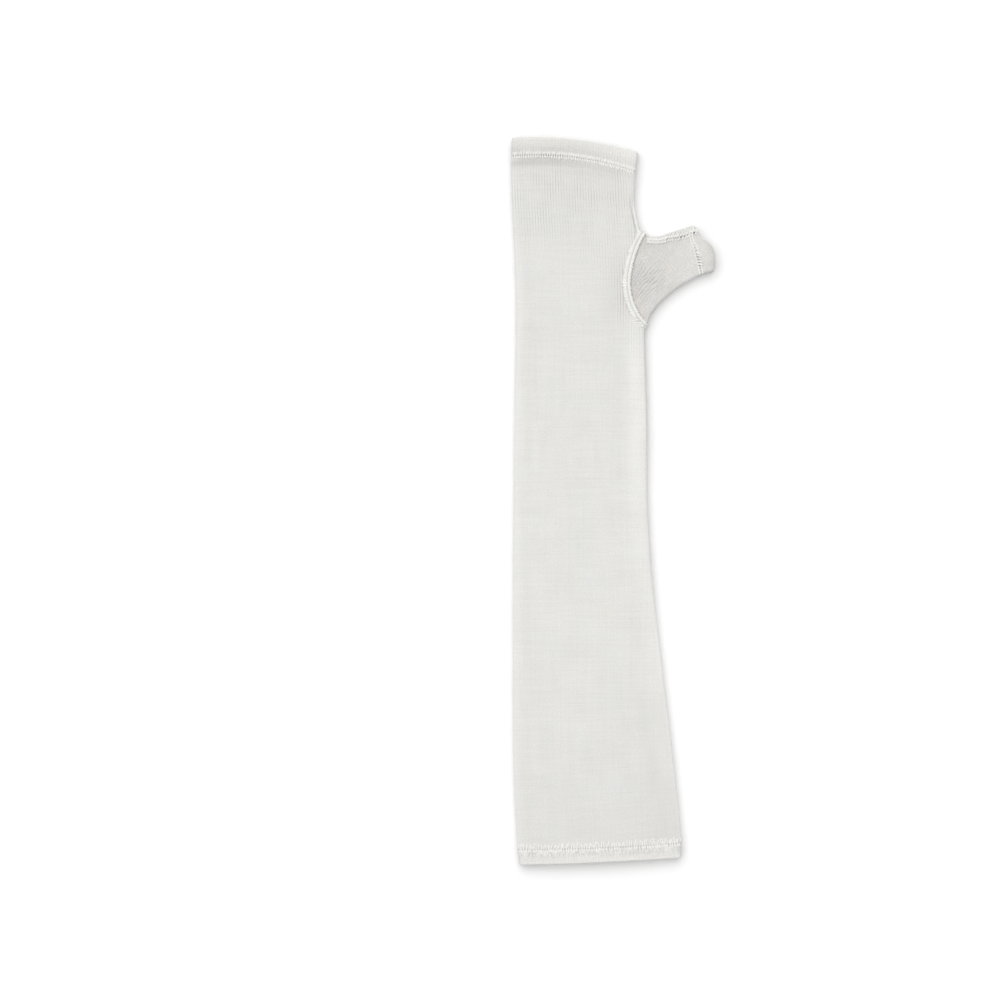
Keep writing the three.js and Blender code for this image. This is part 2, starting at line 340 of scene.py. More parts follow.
@dataclass(frozen=True)
class FlatTube:
    """A tube of cloth laid flat, a front layer over a back layer with a folded edge on each side."""

    table: Table
    lift: float = 0.32  # the back layer's underside over the surface, under the seams and stitches
    squareness: float = 0.48  # 1 would round the folded edges evenly, less presses them square
    seam_lift: Pair = (0.6, 3.5)  # how far the set-in seam holds the back layer up, and its reach
    ripples: Ripples = Ripples()

    def edges(self, along: Array) -> Edges:
        """The two folded edges, the way towards the mouth and the table's values at each place."""
        raise NotImplementedError

    def settle(self, along: Array, reach: Array, width: Array) -> Array:
        """How far the front layer lies over its plain shape, from the distance to the first fold."""
        raise NotImplementedError

    def bulge(self, share: Array) -> Array:
        """How far a line across the tube runs ahead at a share of its width, up to 1."""
        return 4 * share * (1 - share)

    def width(self, along: Array) -> Array:
        """The distance between the two folded edges, mm."""
        start, end, _, _ = self.edges(np.asarray(along, dtype=float))
        return np.linalg.norm(end - start, axis=-1)

    def quarter(self, fold: Array) -> Array:
        """The length of cloth in a quarter of a folded edge of that height, mm."""
        return fold / 2 * fold_curve(self.squareness)[2]

    def bearing(self, turn: Array) -> tuple[Array, Array]:
        """Gives the angle reached on the folded edges' round.

        Args:
            turn: Turns round the section.

        Returns:
            The angle's cosine and sine.
        """
        share, angles, _ = fold_curve(self.squareness)
        s = np.abs(turn)
        angle = np.interp(np.where(s <= 1, s, 3 - s), share, angles)
        return np.where(s <= 1, -1, 1) * np.cos(angle), np.where(turn >= 0, 1, -1) * np.sin(angle)

    def skin(self, along: Array, turn: Array) -> Array:
        """Gives the length of cloth from the first folded edge.

        Args:
            along: Places along the tube, mm.
            turn: Turns round the section.

        Returns:
            The length, mm, negative on the back layer.
        """
        start, end, _, row = self.edges(along)
        quarter = self.quarter(row["fold"])
        flat = np.linalg.norm(end - start, axis=-1) - row["fold"]
        s = np.abs(turn)
        first, middle, last = (np.clip(s - k, 0, 1) for k in range(3))
        return np.sign(turn) * (first * quarter + middle * flat + last * quarter)

    def turn_at(self, along: float, skin: Array) -> Array:
        """Gives the turns at which the cloth reaches the stated lengths.

        Args:
            along: A place along the tube, mm.
            skin: Lengths of cloth from the first folded edge, mm, negative on the back layer.

        Returns:
            The turns.
        """
        knots = np.array([0.0, 1.0, 2.0, 3.0])
        lengths = self.skin(np.full(len(knots), float(along)), knots)
        return np.sign(skin) * np.interp(np.abs(skin), lengths, knots)

    def girth(self, along: float) -> float:
        """The length of cloth once round the section, mm."""
        return 2 * float(self.skin(np.array([float(along)]), np.array([3.0]))[0])

    def around(self, along: float, steps: int) -> Array:
        """Turns that go once round the section in even steps along the cloth."""
        half = self.girth(along) / 2
        return self.turn_at(along, np.linspace(-half, half, steps + 1))

    def point(self, along: Array, turn: Array, inset: Array | float) -> Array:
        """Gives points of the cloth.

        Args:
            along: Places along the tube, mm.
            turn: Turns round the section.
            inset: Depth into the cloth, mm, or a height over it where it is negative.

        Returns:
            Points, mm, in the tables' frame.
        """
        along, turn, inset = np.broadcast_arrays(along, turn, np.asarray(inset, dtype=float))
        start, end, ahead, row = self.edges(along)
        width = np.linalg.norm(end - start, axis=-1)
        across = (end - start) / width[..., None]
        fold = row["fold"]
        q = np.clip(np.abs(turn) - 1, 0, 1)
        cosine, sine = (np.sign(v) * np.abs(v) ** self.squareness for v in self.bearing(turn))
        reach = fold / 2 + (width - fold) * q + (fold / 2 - inset) * cosine
        bottom = np.maximum(self.lift + inset, 0.0)
        half = (fold - inset - bottom) / 2
        front, back = np.clip(sine, 0, 1), np.clip(-sine, 0, 1)
        plateau = 1 - np.abs(2 * q - 1) ** 3
        z = bottom + half + half * sine + front * row["crown"] * plateau
        forward = row["bow"] * self.bulge(np.clip(reach / width, 0, 1))
        forward = forward + row.get("under", 0.0) * (1 - z / fold)
        plan = start + across * reach[..., None] + ahead * forward[..., None]
        x, y = plan[..., 0], plan[..., 1]
        z = z + front * (self.settle(along, reach, width) + self.ripples.at(x, y))
        high, far = self.seam_lift
        z = z + back * (high * hump(SET_IN.offset(x, y), 0.0, far))
        return np.concatenate([plan, z[..., None]], axis=-1)

    def outward(self, along: Array, turn: Array) -> Array:
        """Gives the way out of the cloth.

        Args:
            along: Places along the tube, mm.
            turn: Turns round the section.

        Returns:
            Directions in the tables' frame.
        """
        along, turn = np.broadcast_arrays(along, turn)
        start, end, _, _ = self.edges(along)
        across = (end - start) / np.linalg.norm(end - start, axis=-1)[..., None]
        cosine, sine = (np.sign(v) * np.abs(v) ** (2 - self.squareness) for v in self.bearing(turn))
        size = np.hypot(cosine, sine)
        return np.concatenate([across * (cosine / size)[..., None], (sine / size)[..., None]], axis=-1)


@dataclass(frozen=True)
class SleeveTube(FlatTube):
    """The long tube from the elbow to the fingers."""

    table: Table = SLEEVE_TABLE
    sag: float = 0.75  # how far the middle lies under the folded edges
    sag_from: Pair = (3.6, 7.0)  # how far in the sag starts, and its reach
    dip: float = 0.85  # depth of the crease beside the finger hem's stitching
    dip_past: Pair = (3.9, 2.4)  # how far past the stitching it is, and its reach
    dip_side: Pair = (14.0, 24.0)  # how far from the first fold it is deepest, and its reach
    dip_rest: float = 0.3  # how deep it is elsewhere
    dip_fades: float = 9.0  # over how much of the cloth beside a fold
    elbow_dip: Humps = ((0.15, 4.0, 2.2),)
    welt: float = 1.7  # depth of the crease over the thumb, where the back layer shows past the front
    welt_in: Pair = (1.9, 0.6)  # how far from the right fold it is, and its reach
    welt_along: Pair = (391.0, 13.0)

    def edges(self, along: Array) -> Edges:
        """Gives the two folded edges, the way towards the fingers and the table's values.

        Args:
            along: Places along the tube, mm.

        Returns:
            All four, the edges in plan.
        """
        row = self.table.at(along)
        y = along - LENGTH / 2
        start = np.stack([row["left"], y], axis=-1)
        end = np.stack([row["right"], y + row["skew"]], axis=-1)
        return start, end, np.broadcast_to(np.array([0.0, 1.0]), start.shape), row

    def settle(self, along: Array, reach: Array, width: Array) -> Array:
        """Gives the front layer's sag between its edges and its dips beside the hems' stitching.

        Args:
            along: Places along the tube, mm.
            reach: Distances from the first folded edge, mm.
            width: Distances between the folded edges, mm.

        Returns:
            The height over the plain shape, mm.
        """
        from_edge = np.minimum(reach, width - reach)
        sag = -self.sag * rise(from_edge, *self.sag_from)
        side = self.dip_rest + (1 - self.dip_rest) * hump(reach, *self.dip_side)
        dip = hump(FINGER_STITCHING - along, *self.dip_past) * side
        dip = dip + humps(along - ELBOW_STITCHING, self.elbow_dip)
        welt = hump(width - reach, *self.welt_in) * hump(along, *self.welt_along)
        return sag - self.dip * dip * rise(from_edge, 0.0, self.dip_fades) - self.welt * welt


@dataclass(frozen=True)
class ThumbTube(FlatTube):
    """The short tube of the thumb, whose first sections lie inside the sleeve."""

    table: Table = THUMB_TABLE
    crevice: float = 0.4  # how far it lies under the set-in seam's edge
    crevice_ends: Pair = (12.0, 22.0)  # where it starts to rise out of it, and its reach
    crevice_fades: float = 7.0  # over how much of the cloth beside a fold
    sag: float = 0.25
    sag_from: Pair = (5.0, 6.0)

    def edges(self, along: Array) -> Edges:
        """Gives the two folded edges, the way towards the thumb's mouth and the table's values.

        Args:
            along: Places along the tube, mm.

        Returns:
            All four, the edges in plan.
        """
        row = self.table.at(along)
        start = np.stack([row["up_x"], row["up_y"]], axis=-1)
        end = np.stack([row["low_x"], row["low_y"]], axis=-1)
        span = (end - start) / np.linalg.norm(end - start, axis=-1)[..., None]
        return start, end, np.stack([-span[..., 1], span[..., 0]], axis=-1), row

    def settle(self, along: Array, reach: Array, width: Array) -> Array:
        """Gives the front layer's dip beside the seam that sets it in.

        Args:
            along: Places along the tube, mm.
            reach: Distances from the upper folded edge, mm.
            width: Distances between the folded edges, mm.

        Returns:
            The height over the plain shape, mm.
        """
        from_edge = np.minimum(reach, width - reach)
        middle = rise(from_edge, 0.0, self.crevice_fades)
        base = self.crevice * (1 - rise(along, *self.crevice_ends)) * middle
        return -base - self.sag * rise(from_edge, *self.sag_from)

    def bulge(self, share: Array) -> Array:
        """How far a line across the thumb runs ahead: it is straight at first and then bulges."""
        return MOUTH_TABLE.at(share)["out"]


SLEEVE = SleeveTube()
THUMB = ThumbTube(ripples=Ripples(height=0.1, shortest=14, longest=50, seed=5))


# Finishes


class Nodes:
    """A node tree, built one node at a time."""

    def __init__(self, tree: bpy.types.NodeTree) -> None:
        """Takes the tree that the nodes go into."""
        self.nodes, self.links = tree.nodes, tree.links

    def put(self, socket: Socket, value: object) -> None:
        """Links a socket's value, or sets it where it is a plain one.

        Args:
            socket: The input.
            value: A socket or a plain value.
        """
        if isinstance(value, Socket):
            self.links.new(value, socket)
        else:
            socket.default_value = value

    def node(self, kind: str, inputs: dict[str, object] | tuple, **choices: object) -> bpy.types.Node:
        """Adds a node.

        Args:
            kind: The node's type.
            inputs: A value or a socket for each input, by name or in order.
            choices: Settings of the node itself.

        Returns:
            The node.
        """
        node = self.nodes.new(kind)
        for name, choice in choices.items():
            setattr(node, name, choice)
        if isinstance(inputs, dict):
            for name, value in inputs.items():
                self.put(next(s for s in node.inputs if s.name == name and s.enabled), value)
        else:
            for socket, value in zip(node.inputs, inputs):
                self.put(socket, value)
        return node

    def math(self, operation: str, *values: object) -> Socket:
        """The result of a Math node."""
        return self.node("ShaderNodeMath", values, operation=operation).outputs[0]

    def place(self, x: object, y: object, z: object = 0.0) -> Socket:
        """The vector of three values."""
        return self.node("ShaderNodeCombineXYZ", (x, y, z)).outputs[0]


class Finish(Nodes):
    """A material's node tree."""

    def __init__(self, name: str) -> None:
        """Starts the material with a principled shader.

        Args:
            name: The material's name.
        """
        self.material = bpy.data.materials.new(name)
        self.material.use_nodes = True
        super().__init__(self.material.node_tree)
        self.shader = next(n for n in self.nodes if n.type == "BSDF_PRINCIPLED")

    def times(self, first: Socket, *others: object) -> Socket:
        """The product of values."""
        return functools.reduce(functools.partial(self.math, "MULTIPLY"), others, first)

    def scaled(self, value: object, gain: object, more: object) -> Socket:
        """A value times a gain, plus something more."""
        return self.math("MULTIPLY_ADD", value, gain, more)

    def swing(self, value: object, amount: float) -> Socket:
        """Turns a value from 0 to 1 into a factor about 1 that swings by the amount."""
        return self.scaled(value, 2 * amount, 1 - amount)

    def clamped(self, value: Socket) -> Socket:
        """Holds a value between 0 and 1."""
        return self.math("MINIMUM", self.math("MAXIMUM", value, 0.0), 1.0)

    def valley(self, value: Socket) -> Socket:
        """Falls from 1 at each whole number to 0 half-way to the next."""
        return self.math("ABSOLUTE", self.scaled(self.math("FRACT", value), 2.0, -1.0))

    def arch(self, value: Socket) -> Socket:
        """Rises from 0 at each whole number to 1 half-way to the next."""
        return self.math("SINE", self.times(self.math("FRACT", value), math.pi))

    def noise(self, vector: Socket, scale: float, detail: float = 2.0) -> Socket:
        """The value of a Noise Texture, from 0 to 1."""
        inputs = {"Vector": vector, "Scale": scale, "Detail": detail}
        return self.node("ShaderNodeTexNoise", inputs).outputs[0]

    def patches(self, u: Socket, v: Socket, size: Pair) -> Socket:
        """Noise in patches of a width and a height, in metres."""
        return self.noise(self.place(self.math("DIVIDE", u, size[0]), self.math("DIVIDE", v, size[1])), 1.0)

    def attribute(self, name: str) -> Socket:
        """A mesh attribute's value."""
        return self.node("ShaderNodeAttribute", (), attribute_name=name).outputs["Fac"]

    def colour(self, base: Colour, *factors: Socket, tint: object = 0.5, warmth: float = 0.0) -> None:
        """Sets the shader's colour.

        Args:
            base: The colour, red, green and blue.
            factors: What it is multiplied by.
            tint: From 0 where it is cooler to 1 where it is warmer.
            warmth: How much warmer or cooler that is.
        """
        inputs = {"Vector": base, "Scale": self.times(*factors)}
        plain = self.node("ShaderNodeVectorMath", inputs, operation="SCALE").outputs[0]
        turn = self.place(self.swing(tint, warmth), 1.0, self.swing(tint, -warmth))
        turned = self.node("ShaderNodeVectorMath", (plain, turn), operation="MULTIPLY")
        self.surface({"Base Color": turned.outputs[0]})

    def relief(self, height: Socket, depth: float) -> None:
        """Sets the shader's relief: a height of 1 stands the depth, in metres, over the surface."""
        bump = self.node("ShaderNodeBump", {"Strength": 1.0, "Distance": depth, "Height": height})
        self.surface({"Normal": bump.outputs[0]})

    def surface(self, inputs: dict[str, object]) -> None:
        """Sets the shader's inputs by name."""
        for name, value in inputs.items():
            self.put(self.shader.inputs[name], value)


@dataclass(frozen=True)
class KnitFinish:
    """Fine jersey knit: columns of V-shaped loops, a little uneven in colour and tightness."""

    name: str
    base: Colour
    wale: float = 0.00165  # width of a column of loops
    course: float = 0.00112  # height of a row of loops
    depth: float = 0.00012
    gap_shade: float = 0.18  # painted shade: how much darker the gaps between columns are where they stand open
    courses: float = 0.5  # how far the gaps between rows stand open
    patch: Pair = (0.009, 0.02)  # size of the patches where either kind of gap shows
    wander: float = 0.25  # how far the columns stray, in columns
    bends: float = 90.0  # how many of their bends go into a metre
    slope: float = 0.55  # how far a loop's legs slope, in rows
    streaks: float = 0.03
    streak_size: Pair = (0.0017, 0.045)
    rows: float = 0.045
    row_size: Pair = (0.03, 0.0013)
    mottling: float = 0.022
    mottles: float = 38.0  # how many of the mottling's patches go into a metre
    speckle: float = 0.045
    speck_size: Pair = (0.0011, 0.0009)
    warmth: float = 0.025
    tints: float = 55.0
    tufts: float = 2600.0

    def material(self) -> bpy.types.Material:
        """Builds the material.

        Returns:
            The material, which reads the UV map knit and the attributes shade and ribs.
        """
        f = Finish(self.name)
        split = f.node("ShaderNodeSeparateXYZ", (f.node("ShaderNodeUVMap", (), uv_map="knit").outputs[0],))
        u, v = split.outputs[0], split.outputs[1]
        flat = f.place(u, v)
        wander = f.noise(flat, self.bends)
        x = f.scaled(wander, self.wander, f.math("DIVIDE", u, self.wale))
        y = f.scaled(wander, self.wander, f.math("DIVIDE", v, self.course))
        across = f.valley(x)
        strand = f.math("POWER", f.arch(f.times(x, 2.0)), 0.8)
        loop = f.arch(f.scaled(across, self.slope, y))
        stitch = f.times(strand, f.scaled(loop, 0.5, 0.5))
        shade, ribs = f.attribute("shade"), f.attribute("ribs")
        straight = f.clamped(f.scaled(f.patches(u, v, self.patch), 3.0, -0.9))
        wale_gap = f.times(f.math("POWER", across, 2.0), straight)
        row_gap = f.times(f.math("POWER", f.valley(y), 2.0), f.math("SUBTRACT", 0.9, straight))
        gap = f.scaled(f.clamped(row_gap), self.courses, f.times(wale_gap, ribs))
        tight = f.scaled(ribs, 0.6, 0.4)
        height = f.scaled(gap, -0.9, f.times(stitch, tight))
        fuzz = f.noise(flat, self.tufts, 3.0)
        f.colour(
            self.base,
            # the mesh's own colour changes with its painted light and shade
            shade,
            # painted shade in the knit's hollows: the loops a little lighter, the gaps between columns and
            # rows darker
            f.scaled(stitch, 0.04, 0.985),
            f.scaled(gap, -self.gap_shade, 1.0),
            f.swing(f.patches(u, v, self.streak_size), self.streaks),
            f.swing(f.patches(u, v, self.row_size), self.rows),
            f.swing(f.noise(flat, self.mottles, 3.0), self.mottling),
            f.swing(f.patches(u, v, self.speck_size), self.speckle),
            tint=f.noise(f.place(v, u), self.tints),
            warmth=self.warmth,
        )
        f.relief(f.scaled(fuzz, 0.35, height), self.depth)
        f.surface({"Roughness": f.scaled(fuzz, 0.12, 0.84), "Specular IOR Level": 0.25})
        f.surface({"Sheen Weight": 0.25, "Sheen Roughness": 0.5})
        return f.material


@dataclass(frozen=True)
class ThreadFinish:
    """Soft spun thread, with its twist and fuzz."""

    name: str
    base: Colour
    grain: float = 1500.0
    depth: float = 0.00012
    swing: float = 0.07

    def material(self) -> bpy.types.Material:
        """Builds the material.

        Returns:
            The material, which reads Object coordinates.
        """
        f = Finish(self.name)
        where = f.node("ShaderNodeTexCoord", ()).outputs["Object"]
        fuzz = f.noise(where, self.grain, 3.0)
        tuft = f.noise(where, self.grain / 5)
        f.colour(self.base, f.swing(fuzz, self.swing), f.swing(tuft, self.swing))
        f.relief(fuzz, self.depth)
        f.surface({"Roughness": f.scaled(fuzz, 0.15, 0.8), "Sheen Weight": 0.2, "Specular IOR Level": 0.25})
        return f.material


@dataclass(frozen=True)
class FloorFinish:
    """A plain pale studio floor."""

    name: str = "studio_floor"
    base: Colour = (0.825, 0.825, 0.825)

    def material(self) -> bpy.types.Material:
        """Builds the material.

        Returns:
            The material.
        """
        f = Finish(self.name)
        f.surface({"Base Color": (*self.base, 1.0), "Roughness": 0.9, "Specular IOR Level": 0.1})
        return f.material


# Meshes


def linked(name: str, mesh: bpy.types.Mesh) -> Piece:
    """Makes an object of a mesh, linked to the scene.

    Args:
        name: The object's name.
        mesh: The mesh.

    Returns:
        The object.
    """
    piece = bpy.data.objects.new(name, mesh)
    bpy.context.scene.collection.objects.link(piece)
    return piece


def mesh_of(name: str, points: Array, edges: list, faces: list) -> bpy.types.Mesh:
    """Makes a mesh in the frame.

    Args:
        name: The mesh's name.
        points: Its points in the tables' frame, mm.
        edges: The points of each loose edge.
        faces: The points of each face.

    Returns:
        The mesh, with smooth faces.
    """
    mesh = bpy.data.meshes.new(name)
    mesh.from_pydata(((points - CENTRE) * MM).tolist(), edges, faces)
    mesh.polygons.foreach_set("use_smooth", np.ones(len(mesh.polygons), dtype=bool))
    mesh.update()
    return mesh


def path_of(name: str, lines: list[Line], closed: bool) -> Piece:
    """Makes lines for stitches to follow.

    Args:
        name: The object's name.
        lines: The lines, in the tables' frame.
        closed: Whether each line's end joins its start.

    Returns:
        The object of loose edges, with an attribute named outward.
    """
    edges, start = [], 0
    for points, _ in lines:
        count = len(points)
        last = count if closed else count - 1
        edges += [(start + k, start + (k + 1) % count) for k in range(last)]
        start += count
    mesh = mesh_of(name, np.vstack([points for points, _ in lines]), edges, [])
    outward = np.vstack([out for _, out in lines])
    mesh.attributes.new("outward", "FLOAT_VECTOR", "POINT").data.foreach_set("vector", outward.ravel())
    return linked(name, mesh)


def fit(piece: Piece, slot: Slot, replaces: str | None = None) -> Piece:
    """Fixes a finished piece to the object.

    Args:
        piece: The piece.
        slot: Not used.
        replaces: The solid that it stands for.

    Returns:
        The piece, riding on the body.
    """
    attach(piece, BODY)
    if replaces:
        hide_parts(replaces)
    lowest = min(v.co.z for v in piece.data.vertices) / MM
    log.info("%s: %d faces, lowest at %.2f mm", piece.name, len(piece.data.polygons), lowest)
    return piece


@dataclass
class Wall:
    """A closed wall of cloth on a grid of points, round the tube and through both its faces."""

    points: Array  # rows x columns x 3, mm
    knit: Array  # rows x (columns + 1) x 2, mm on the cloth
    shade: Array | float = 1.0  # rows x columns, how light the cloth is there: its own colour with painted light and shade
    ribs: Array | float = 0.3  # rows x columns, how far the ribs stand open there
    keep: Array | None = None  # rows x columns of cells, the outer rows and then the inner ones
    flat_rows: tuple[int, ...] = ()  # rows of cells that are a cut end, with sharp edges
    open_ended: bool = False  # whether the last column is a second end, and doesn't join the first

    def faces(self) -> tuple[Array, Array, Array]:
        """Gives the wall's quads.

        Returns:
            The points of each quad, the place on the knit of each of its corners, and which are smooth.
        """
        rows, columns = self.points.shape[:2]
        index = np.arange(rows * columns).reshape(rows, columns)
        right = np.roll(index, -1, axis=1)
        quads = np.stack([index, right, np.roll(right, -1, axis=0), np.roll(index, -1, axis=0)], axis=-1)
        here, there = self.knit[:, :-1], self.knit[:, 1:]
        places = np.stack([here, there, np.roll(there, -1, axis=0), np.roll(here, -1, axis=0)], axis=2)
        keep = np.ones((rows, columns), dtype=bool) if self.keep is None else self.keep
        smooth = np.ones((rows, columns), dtype=bool)
        smooth[list(self.flat_rows)] = False
        if self.open_ended:
            keep[:, -1] = False
            cut_quads, cut_places = self.ends(index)
        else:
            cut_quads, cut_places = self.cut_sides(index, keep)
        smooth = np.concatenate([smooth[keep], np.zeros(len(cut_quads), dtype=bool)])
        return np.vstack([quads[keep], cut_quads]), np.vstack([places[keep], cut_places]), smooth

    def ends(self, index: Array) -> tuple[Array, Array]:
        """Closes the two ends of an open-ended wall.

        Args:
            index: The number of each point of the grid.

        Returns:
            Quads from the outer to the inner face, and their corners' places on the knit.
        """
        k = np.arange(len(index) // 2 - 1)
        quads, places = [], []
        for column, order in ((0, (0, 1, 2, 3)), (-1, (3, 2, 1, 0))):
            side = index[:, column]
            corners = np.stack([side[k + 1], side[k], side[-1 - k], side[-2 - k]], axis=-1)
            quads.append(corners[:, order])
            places.append(np.repeat(self.knit[k, column][:, None, :], 4, axis=1))
        return np.vstack(quads), np.vstack(places)

    def cut_sides(self, index: Array, keep: Array) -> tuple[Array, Array]:
        """Closes the cut between the outer and the inner face.

        Args:
            index: The number of each point of the grid.
            keep: Which cells are left.

        Returns:
            Quads and their corners' places on the knit, as faces gives them.
        """
        rows, columns = index.shape
        cells = keep[: rows // 2 - 1]
        bordered = np.pad(cells, ((1, 1), (0, 0)), constant_values=True)
        quads, places = [], []
        for n, j in () if cells.all() else np.argwhere(cells):
            k = (j + 1) % columns
            corners = ((n, j), (n, k), (n + 1, k), (n + 1, j))
            past = (bordered[n, j], cells[n, k], bordered[n + 2, j], cells[n, j - 1])
            for e in (e for e in range(4) if not past[e]):
                (r0, c0), (r1, c1) = corners[e], corners[(e + 1) % 4]
                inner = [index[rows - 1 - r0, c0], index[rows - 1 - r1, c1]]
                quads.append([index[r1, c1], index[r0, c0], *inner])
                places.append([self.knit[r1, c1], self.knit[r0, c0], self.knit[r0, c0], self.knit[r1, c1]])
        return np.array(quads, dtype=int).reshape(-1, 4), np.array(places).reshape(-1, 4, 2)

    def build(self, name: str, finish: KnitFinish, slot: Slot, replaces: str) -> Piece:
        """Makes the wall's object.

        Args:
            name: The piece's name.
            finish: Its finish.
            slot: The record's slot that the finish comes from.
            replaces: The solid that it stands for.

        Returns:
            The piece, riding on the body, its faces pointing out.
        """
        quads, places, smooth = self.faces()
        used, quads = np.unique(quads, return_inverse=True)
        quads = quads.reshape(-1, 4)
        points = self.points.reshape(-1, 3)[used]
        a, b, c, d = (points[quads[:, k]] for k in range(4))
        if (np.cross(a, b) * c).sum() + (np.cross(a, c) * d).sum() < 0:
            quads, places = quads[:, ::-1], places[:, ::-1]
        piece = linked(name, mesh_of(name, points, [], quads.tolist()))
        mesh = piece.data
        mesh.polygons.foreach_set("use_smooth", smooth)
        borders = {key for face in mesh.polygons if not face.use_smooth for key in face.edge_keys}
        for edge in mesh.edges:
            edge.use_edge_sharp = edge.key in borders
        mesh.uv_layers.new(name="knit").data.foreach_set("uv", (places * MM).ravel())
        for attribute, values in (("shade", self.shade), ("ribs", self.ribs)):
            values = np.broadcast_to(values, self.points.shape[:2]).reshape(-1)[used]
            mesh.attributes.new(attribute, "FLOAT", "POINT").data.foreach_set("value", values)
        mesh.materials.append(finish.material())
        return fit(piece, slot, replaces)


# Stitches


class StitchTree(Nodes):
    """A Geometry Nodes tree with named inputs, which ends in real thread with its material."""

    def __init__(self, name: str) -> None:
        """Starts the tree with lines to follow.

        Args:
            name: The tree's name.
        """
        self.group = bpy.data.node_groups.new(name, "GeometryNodeTree")
        super().__init__(self.group)
        for way in ("INPUT", "OUTPUT"):
            self.group.interface.new_socket("Geometry", in_out=way, socket_type="NodeSocketGeometry")
        self.given = self.nodes.new("NodeGroupInput")
        self.result = self.nodes.new("NodeGroupOutput")
        self.lines = self.node("GeometryNodeMeshToCurve", {"Mesh": self.given.outputs[0]}).outputs[0]

    def ask(self, **kinds: str) -> list[Socket]:
        """Adds named inputs to the tree.

        Args:
            kinds: The type of each.

        Returns:
            Their sockets.
        """
        for name, kind in kinds.items():
            self.group.interface.new_socket(name, in_out="INPUT", socket_type=f"NodeSocket{kind}")
        return [self.given.outputs[name] for name in kinds]

    def thread(self, curve: Socket, radius: Socket, sides: int = 6) -> Socket:
        """Lays thread along a curve.

        Args:
            curve: The curve.
            radius: The thread's radius.
            sides: How many sides its section has.

        Returns:
            The thread's mesh.
        """
        section = {"Resolution": sides, "Radius": radius}
        profile = self.node("GeometryNodeCurvePrimitiveCircle", section, mode="RADIUS").outputs[0]
        inputs = {"Curve": curve, "Profile Curve": profile, "Fill Caps": True}
        return self.node("GeometryNodeCurveToMesh", inputs).outputs[0]

    def chance(self, least: Socket, most: Socket, seed: Socket) -> Socket:
        """Random vectors between two."""
        inputs = {"Min": least, "Max": most, "Seed": seed}
        return self.node("FunctionNodeRandomValue", inputs, data_type="FLOAT_VECTOR").outputs[0]

    def finish(self, geometry: Socket, material: Socket) -> bpy.types.NodeTree:
        """Ends the tree by realizing its instances and setting their material.

        Args:
            geometry: The stitches.
            material: The thread's material.

        Returns:
            The tree.
        """
        real = self.node("GeometryNodeRealizeInstances", {"Geometry": geometry}).outputs[0]
        smooth = self.node("GeometryNodeSetShadeSmooth", {"Geometry": real, "Shade Smooth": True})
        inputs = {"Geometry": smooth.outputs[0], "Material": material}
        self.put(self.result.inputs[0], self.node("GeometryNodeSetMaterial", inputs).outputs[0])
        return self.group


def loop_row_tree() -> bpy.types.NodeTree:
    """Builds the tree that lays arched loops of thread along lines, each leaning across the line.

    Returns:
        The tree. Its start and reach are across the line, and its sizes are in metres.
    """
    tree = StitchTree("loop_row")
    count, seed, material = tree.ask(Count="Int", Seed="Int", Material="Material")
    start, reach, lean = tree.ask(Start="Float", Reach="Float", Lean="Float")
    height, thread, uneven = tree.ask(Height="Float", Thread="Float", Uneven="Float")
    points = tree.node("GeometryNodeCurveToPoints", {"Curve": tree.lines, "Count": count}, mode="COUNT")
    outward = tree.node("GeometryNodeInputNamedAttribute", {"Name": "outward"}, data_type="FLOAT_VECTOR")
    axes = {"Primary Axis": outward.outputs["Attribute"], "Secondary Axis": points.outputs["Tangent"]}
    turned = tree.node("FunctionNodeAxesToRotation", axes, primary_axis="Z", secondary_axis="X")
    back, under = tree.math("MULTIPLY", lean, -1.0), tree.math("MULTIPLY", thread, -0.9)
    bend = {
        "Resolution": 5,
        "Start": tree.place(back, start, under),
        "Start Handle": tree.place(back, start, height),
        "End Handle": tree.place(lean, reach, height),
        "End": tree.place(lean, reach, under),
    }
    arch = tree.node("GeometryNodeCurvePrimitiveBezierSegment", bend).outputs[0]
    least, most = tree.math("SUBTRACT", 1.0, uneven), tree.math("ADD", 1.0, uneven)
    places = {
        "Points": points.outputs["Points"],
        "Instance": tree.thread(arch, thread),
        "Rotation": turned.outputs[0],
        "Scale": tree.chance(tree.place(least, least, least), tree.place(most, most, most), seed),
    }
    placed = tree.node("GeometryNodeInstanceOnPoints", places).outputs[0]
    left, right = (tree.place(0.0, 0.0, tree.math("MULTIPLY", uneven, turn)) for turn in (-1.6, 1.6))
    tilt = tree.chance(left, right, tree.math("ADD", seed, 1.0))
    turns = {"Instances": placed, "Rotation": tilt, "Local Space": True}
    return tree.finish(tree.node("GeometryNodeRotateInstances", turns).outputs[0], material)


def thread_tree() -> bpy.types.NodeTree:
    """Builds the tree that lays a thread along each line.

    Returns:
        The tree. Its sizes are in metres.
    """
    tree = StitchTree("laid_thread")
    thread, material = tree.ask(Thread="Float", Material="Material")
    return tree.finish(tree.thread(tree.lines, thread), material)


def grow(path: Piece, tree: bpy.types.NodeTree, values: dict[str, object]) -> Piece:
    """Runs a tree on a path and keeps the result as a plain mesh.

    Args:
        path: The lines that the tree follows.
        tree: The tree.
        values: A value for each of its named inputs.

    Returns:
        A new object with the path's name, which takes the path's place, riding on the body.
    """
    modifier = path.modifiers.new("stitches", "NODES")
    modifier.node_group = tree
    for item in tree.interface.items_tree:
        if item.item_type == "SOCKET" and item.in_out == "INPUT" and item.name in values:
            modifier[item.identifier] = values[item.name]
    mesh = bpy.data.meshes.new_from_object(path.evaluated_get(bpy.context.evaluated_depsgraph_get()))
    name = path.name
    bpy.data.objects.remove(path)
    if "outward" in mesh.attributes:
        mesh.attributes.remove(mesh.attributes["outward"])
    mesh.name = name
    return fit(linked(name, mesh), Slot.SEAM)


